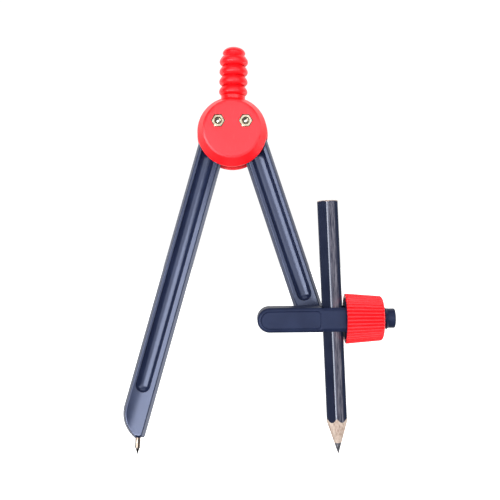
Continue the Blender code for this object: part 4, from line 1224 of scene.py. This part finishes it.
def show_clamp_knob():
    corners = (
        (0.0, KNOB_LEFT_RADIUS - 0.7 * MM, 0.0),
        (0.0, KNOB_LEFT_RADIUS, 0.22 * MM),
        (KNOB_LENGTH, KNOB_RIGHT_RADIUS, 1.0 * MM),
        (KNOB_LENGTH, KNOB_RIGHT_RADIUS - 1.6 * MM, 0.0),
    )
    sections = []
    for x, radius in rounded(corners, 8):
        taper_radius = KNOB_LEFT_RADIUS + (KNOB_RIGHT_RADIUS - KNOB_LEFT_RADIUS) * x / KNOB_LENGTH
        below = max(0.0, taper_radius - radius)
        depth = KNOB_RIB_DEPTH * max(0.0, 1 - below / (1.1 * MM))
        sections.append(along_x(knob_outline(radius, depth), KNOB_RIM_X + x))
    knob = new_piece("clamp_knob", loft(sections), RED_KNOB, ARM_FRAME)
    cut(knob, knob_bore_mesh())
    show(knob, "knob")


# ---- pencil

def pencil_section():
    centre_reach = corner_radius(PENCIL_FLATS) - corner_radius(2 * PENCIL_CORNER_ROUND)
    points = []
    for index in range(6):
        turn = PENCIL_TURN + index * pi / 3
        centre = polar(centre_reach, turn)
        points += arc(centre, PENCIL_CORNER_ROUND, turn - pi / 6, turn + pi / 6, 5)
    return points


def cone_height(radius):
    return CONE_APEX + radius / CONE_SLOPE


def show_pencil_casing():
    stick = prism(pencil_section(), along_z, PENCIL_TIP, PENCIL_TOP)
    casing = new_piece("pencil_casing", stick, LACQUER, PENCIL_FRAME)
    wide = 5.5 * MM
    end_radius = LEAD_BORE_RADIUS + 0.06 * MM
    sharpened = (
        (end_radius, cone_height(end_radius)),
        (wide, cone_height(wide)),
        (wide, PENCIL_TOP - 1.6 * MM),
        (3.2 * MM, PENCIL_TOP),
    )
    combine(casing, "INTERSECT", lathe(sharpened, along_z, segments=ROUND_SEGMENTS))
    bore = rod(LEAD_BORE_RADIUS, 2 * PENCIL_TIP, 2 * PENCIL_TOP, place=along_z)
    cut(casing, bore)
    paint_bare_wood(casing)
    show(casing, "pencil")


def paint_bare_wood(casing):
    """Bare wood on the cone, on the worn top and in the bore."""
    casing.data.materials.append(WOOD)
    inside_flats = PENCIL_FLATS / 2 - 0.02 * MM
    for face in casing.data.polygons:
        reach = hypot(face.center.x, face.center.y)
        on_cone = 0.1 < -face.normal.z < 0.6
        if face.normal.z < -0.9 or face.normal.z > 0.3 or reach < inside_flats or on_cone:
            face.material_index = 1


def show_pencil_lead():
    profile = (
        (0.0, PENCIL_TIP),
        (LEAD_TIP_RADIUS * 0.8, PENCIL_TIP + 0.04 * MM),
        (LEAD_TIP_RADIUS * 1.4, cone_height(LEAD_TIP_RADIUS * 1.4)),
        (LEAD_RADIUS, cone_height(LEAD_RADIUS)),
        (LEAD_RADIUS, PENCIL_TOP - 0.1 * MM),
    )
    core = lathe(profile, along_z)
    show(new_piece("pencil_lead", core, LEAD, PENCIL_FRAME), "pencil")


# ---- stage

def build_floor():
    """Plain pale floor just under the needle's point."""
    radius = 3.0
    top = CAD_BOX[0].z - 0.1 * MM
    profile = ((radius, top - 10 * MM), (radius, top))
    mesh_data = lathe(profile, along_z, segments=ROUND_SEGMENTS)
    finish, tree, shader = new_material("pale_floor")
    shade = noise(tree, object_coordinates(tree), 14.0)
    colour = mix_colour(tree, shade, (0.78, 0.78, 0.78), (0.82, 0.82, 0.82))
    path = node(tree, "ShaderNodeLightPath")
    set_inputs(tree, shader, {
        "Base Color": colour,
        "Roughness": remap(tree, shade, 0.0, 1.0, 0.75, 0.85),
        "Emission Color": (1.0, 1.0, 1.0),
        "Emission Strength": remap(tree, path.outputs["Is Camera Ray"], 0.0, 1.0, 0.2, 1.0),
    })
    bump(tree, shader, shade, 0.05, 0.2 * MM)
    floor = new_object("studio_floor", mesh_data, finish, Matrix.Identity(4))
    floor.visible_glossy = False


CAMERA_X = 6.15 * MM
CAMERA_HEIGHT = -40.6 * MM
FRONT_GLOW = 0.05
BACK_GLOW = 1.5
CAMERA_GLOW = 1.05


def build_world():
    """Pale surroundings: a bright backdrop behind the object and a dim room in front of it."""
    world = bpy.data.worlds.new("studio")
    bpy.context.scene.world = world
    world.use_nodes = True
    tree = world.node_tree
    background = tree.nodes["Background"]
    place = node(tree, "ShaderNodeTexCoord")
    direction = node(tree, "ShaderNodeSeparateXYZ", {"Vector": place.outputs["Generated"]})
    rise = remap(tree, direction.outputs["Y"], 0.0, 0.35, FRONT_GLOW, BACK_GLOW)
    glow = multiply(tree, rise, remap(tree, direction.outputs["Y"], 0.7, 1.0, 1.0, 0.35))
    glow = multiply(tree, glow, remap(tree, direction.outputs["Z"], -0.9, -0.6, 0.2, 1.0))
    path = node(tree, "ShaderNodeLightPath")
    camera_share = path.outputs["Is Camera Ray"]
    mixed = node(tree, "ShaderNodeMix", {"Factor": camera_share, "A": glow, "B": CAMERA_GLOW})
    strength = mixed.outputs["Result"]
    set_inputs(tree, background, {"Color": (1.0, 1.0, 1.0), "Strength": strength})


def softbox(name, azimuth, elevation, width, height, radiance):
    """Softbox on a sphere around the object; azimuth counts from the camera, to the right."""
    distance = 0.8
    middle = Vector((0.0, MID_Y, -0.04))
    turn = radians(azimuth)
    lift = radians(elevation)
    level = cos(lift)
    outward = Vector((sin(turn) * level, -cos(turn) * level, sin(lift)))
    lamp = bpy.data.lights.new(name, "AREA")
    lamp.shape = "RECTANGLE"
    lamp.size = width
    lamp.size_y = height
    lamp.energy = radiance * pi * width * height
    obj = bpy.data.objects.new(name, lamp)
    bpy.context.scene.collection.objects.link(obj)
    obj.location = middle + outward * distance
    obj.rotation_mode = "QUATERNION"
    obj.rotation_quaternion = (-outward).to_track_quat("-Z", "Y")


def build_lights():
    softbox("left_key", -30, -8, 0.64, 0.5, 10.5)
    softbox("right_wide", 10, 2, 0.5, 0.6, 3.0)
    softbox("right_high", 38, 14, 0.3, 0.3, 4.0)
    softbox("high_front", 0, 50, 0.9, 0.4, 2.0)
    softbox("low_left", -30, -25, 0.22, 0.14, 55.0)
    softbox("side_left", -85, 10, 0.3, 0.4, 0.2)
    softbox("side_right", 85, 25, 0.3, 0.4, 0.8)
    softbox("rim_right", 112, -24, 0.3, 0.5, 2.4)
    softbox("rim_left", -115, 0, 0.3, 0.6, 0.4)


def build_camera():
    """Level camera in front of the object, at the middle of its height."""
    distance = 0.28
    sensor = 36.0
    picture_width = 0.1742
    camera_data = bpy.data.cameras.new("camera")
    camera_data.sensor_width = sensor
    camera_data.lens = sensor * distance / picture_width
    camera_data.clip_start = 0.01
    camera = bpy.data.objects.new("camera", camera_data)
    bpy.context.scene.collection.objects.link(camera)
    camera.location = (CAMERA_X, MID_Y - distance, CAMERA_HEIGHT)
    camera.rotation_euler = (pi / 2, 0.0, 0.0)
    bpy.context.scene.camera = camera


show_grip_head()
show_rear_cover()
for pivot_name, pivot_centre in PIVOT_CENTRES.items():
    show_hex_nut(pivot_name, pivot_centre)
    show_pivot_screw(pivot_name, pivot_centre)
    show_screw_washer(pivot_name, pivot_centre)
show_needle_leg()
show_needle()
show_pencil_leg()
show_clamp_arm()
show_arm_pivot_washer()
show_arm_spring_washer()
show_arm_pivot_screw()
show_thrust_washer()
show_clamp_knob()
show_pencil_casing()
show_pencil_lead()

build_floor()
build_world()
build_lights()
build_camera()
bpy.context.scene.view_settings.view_transform = "Standard"
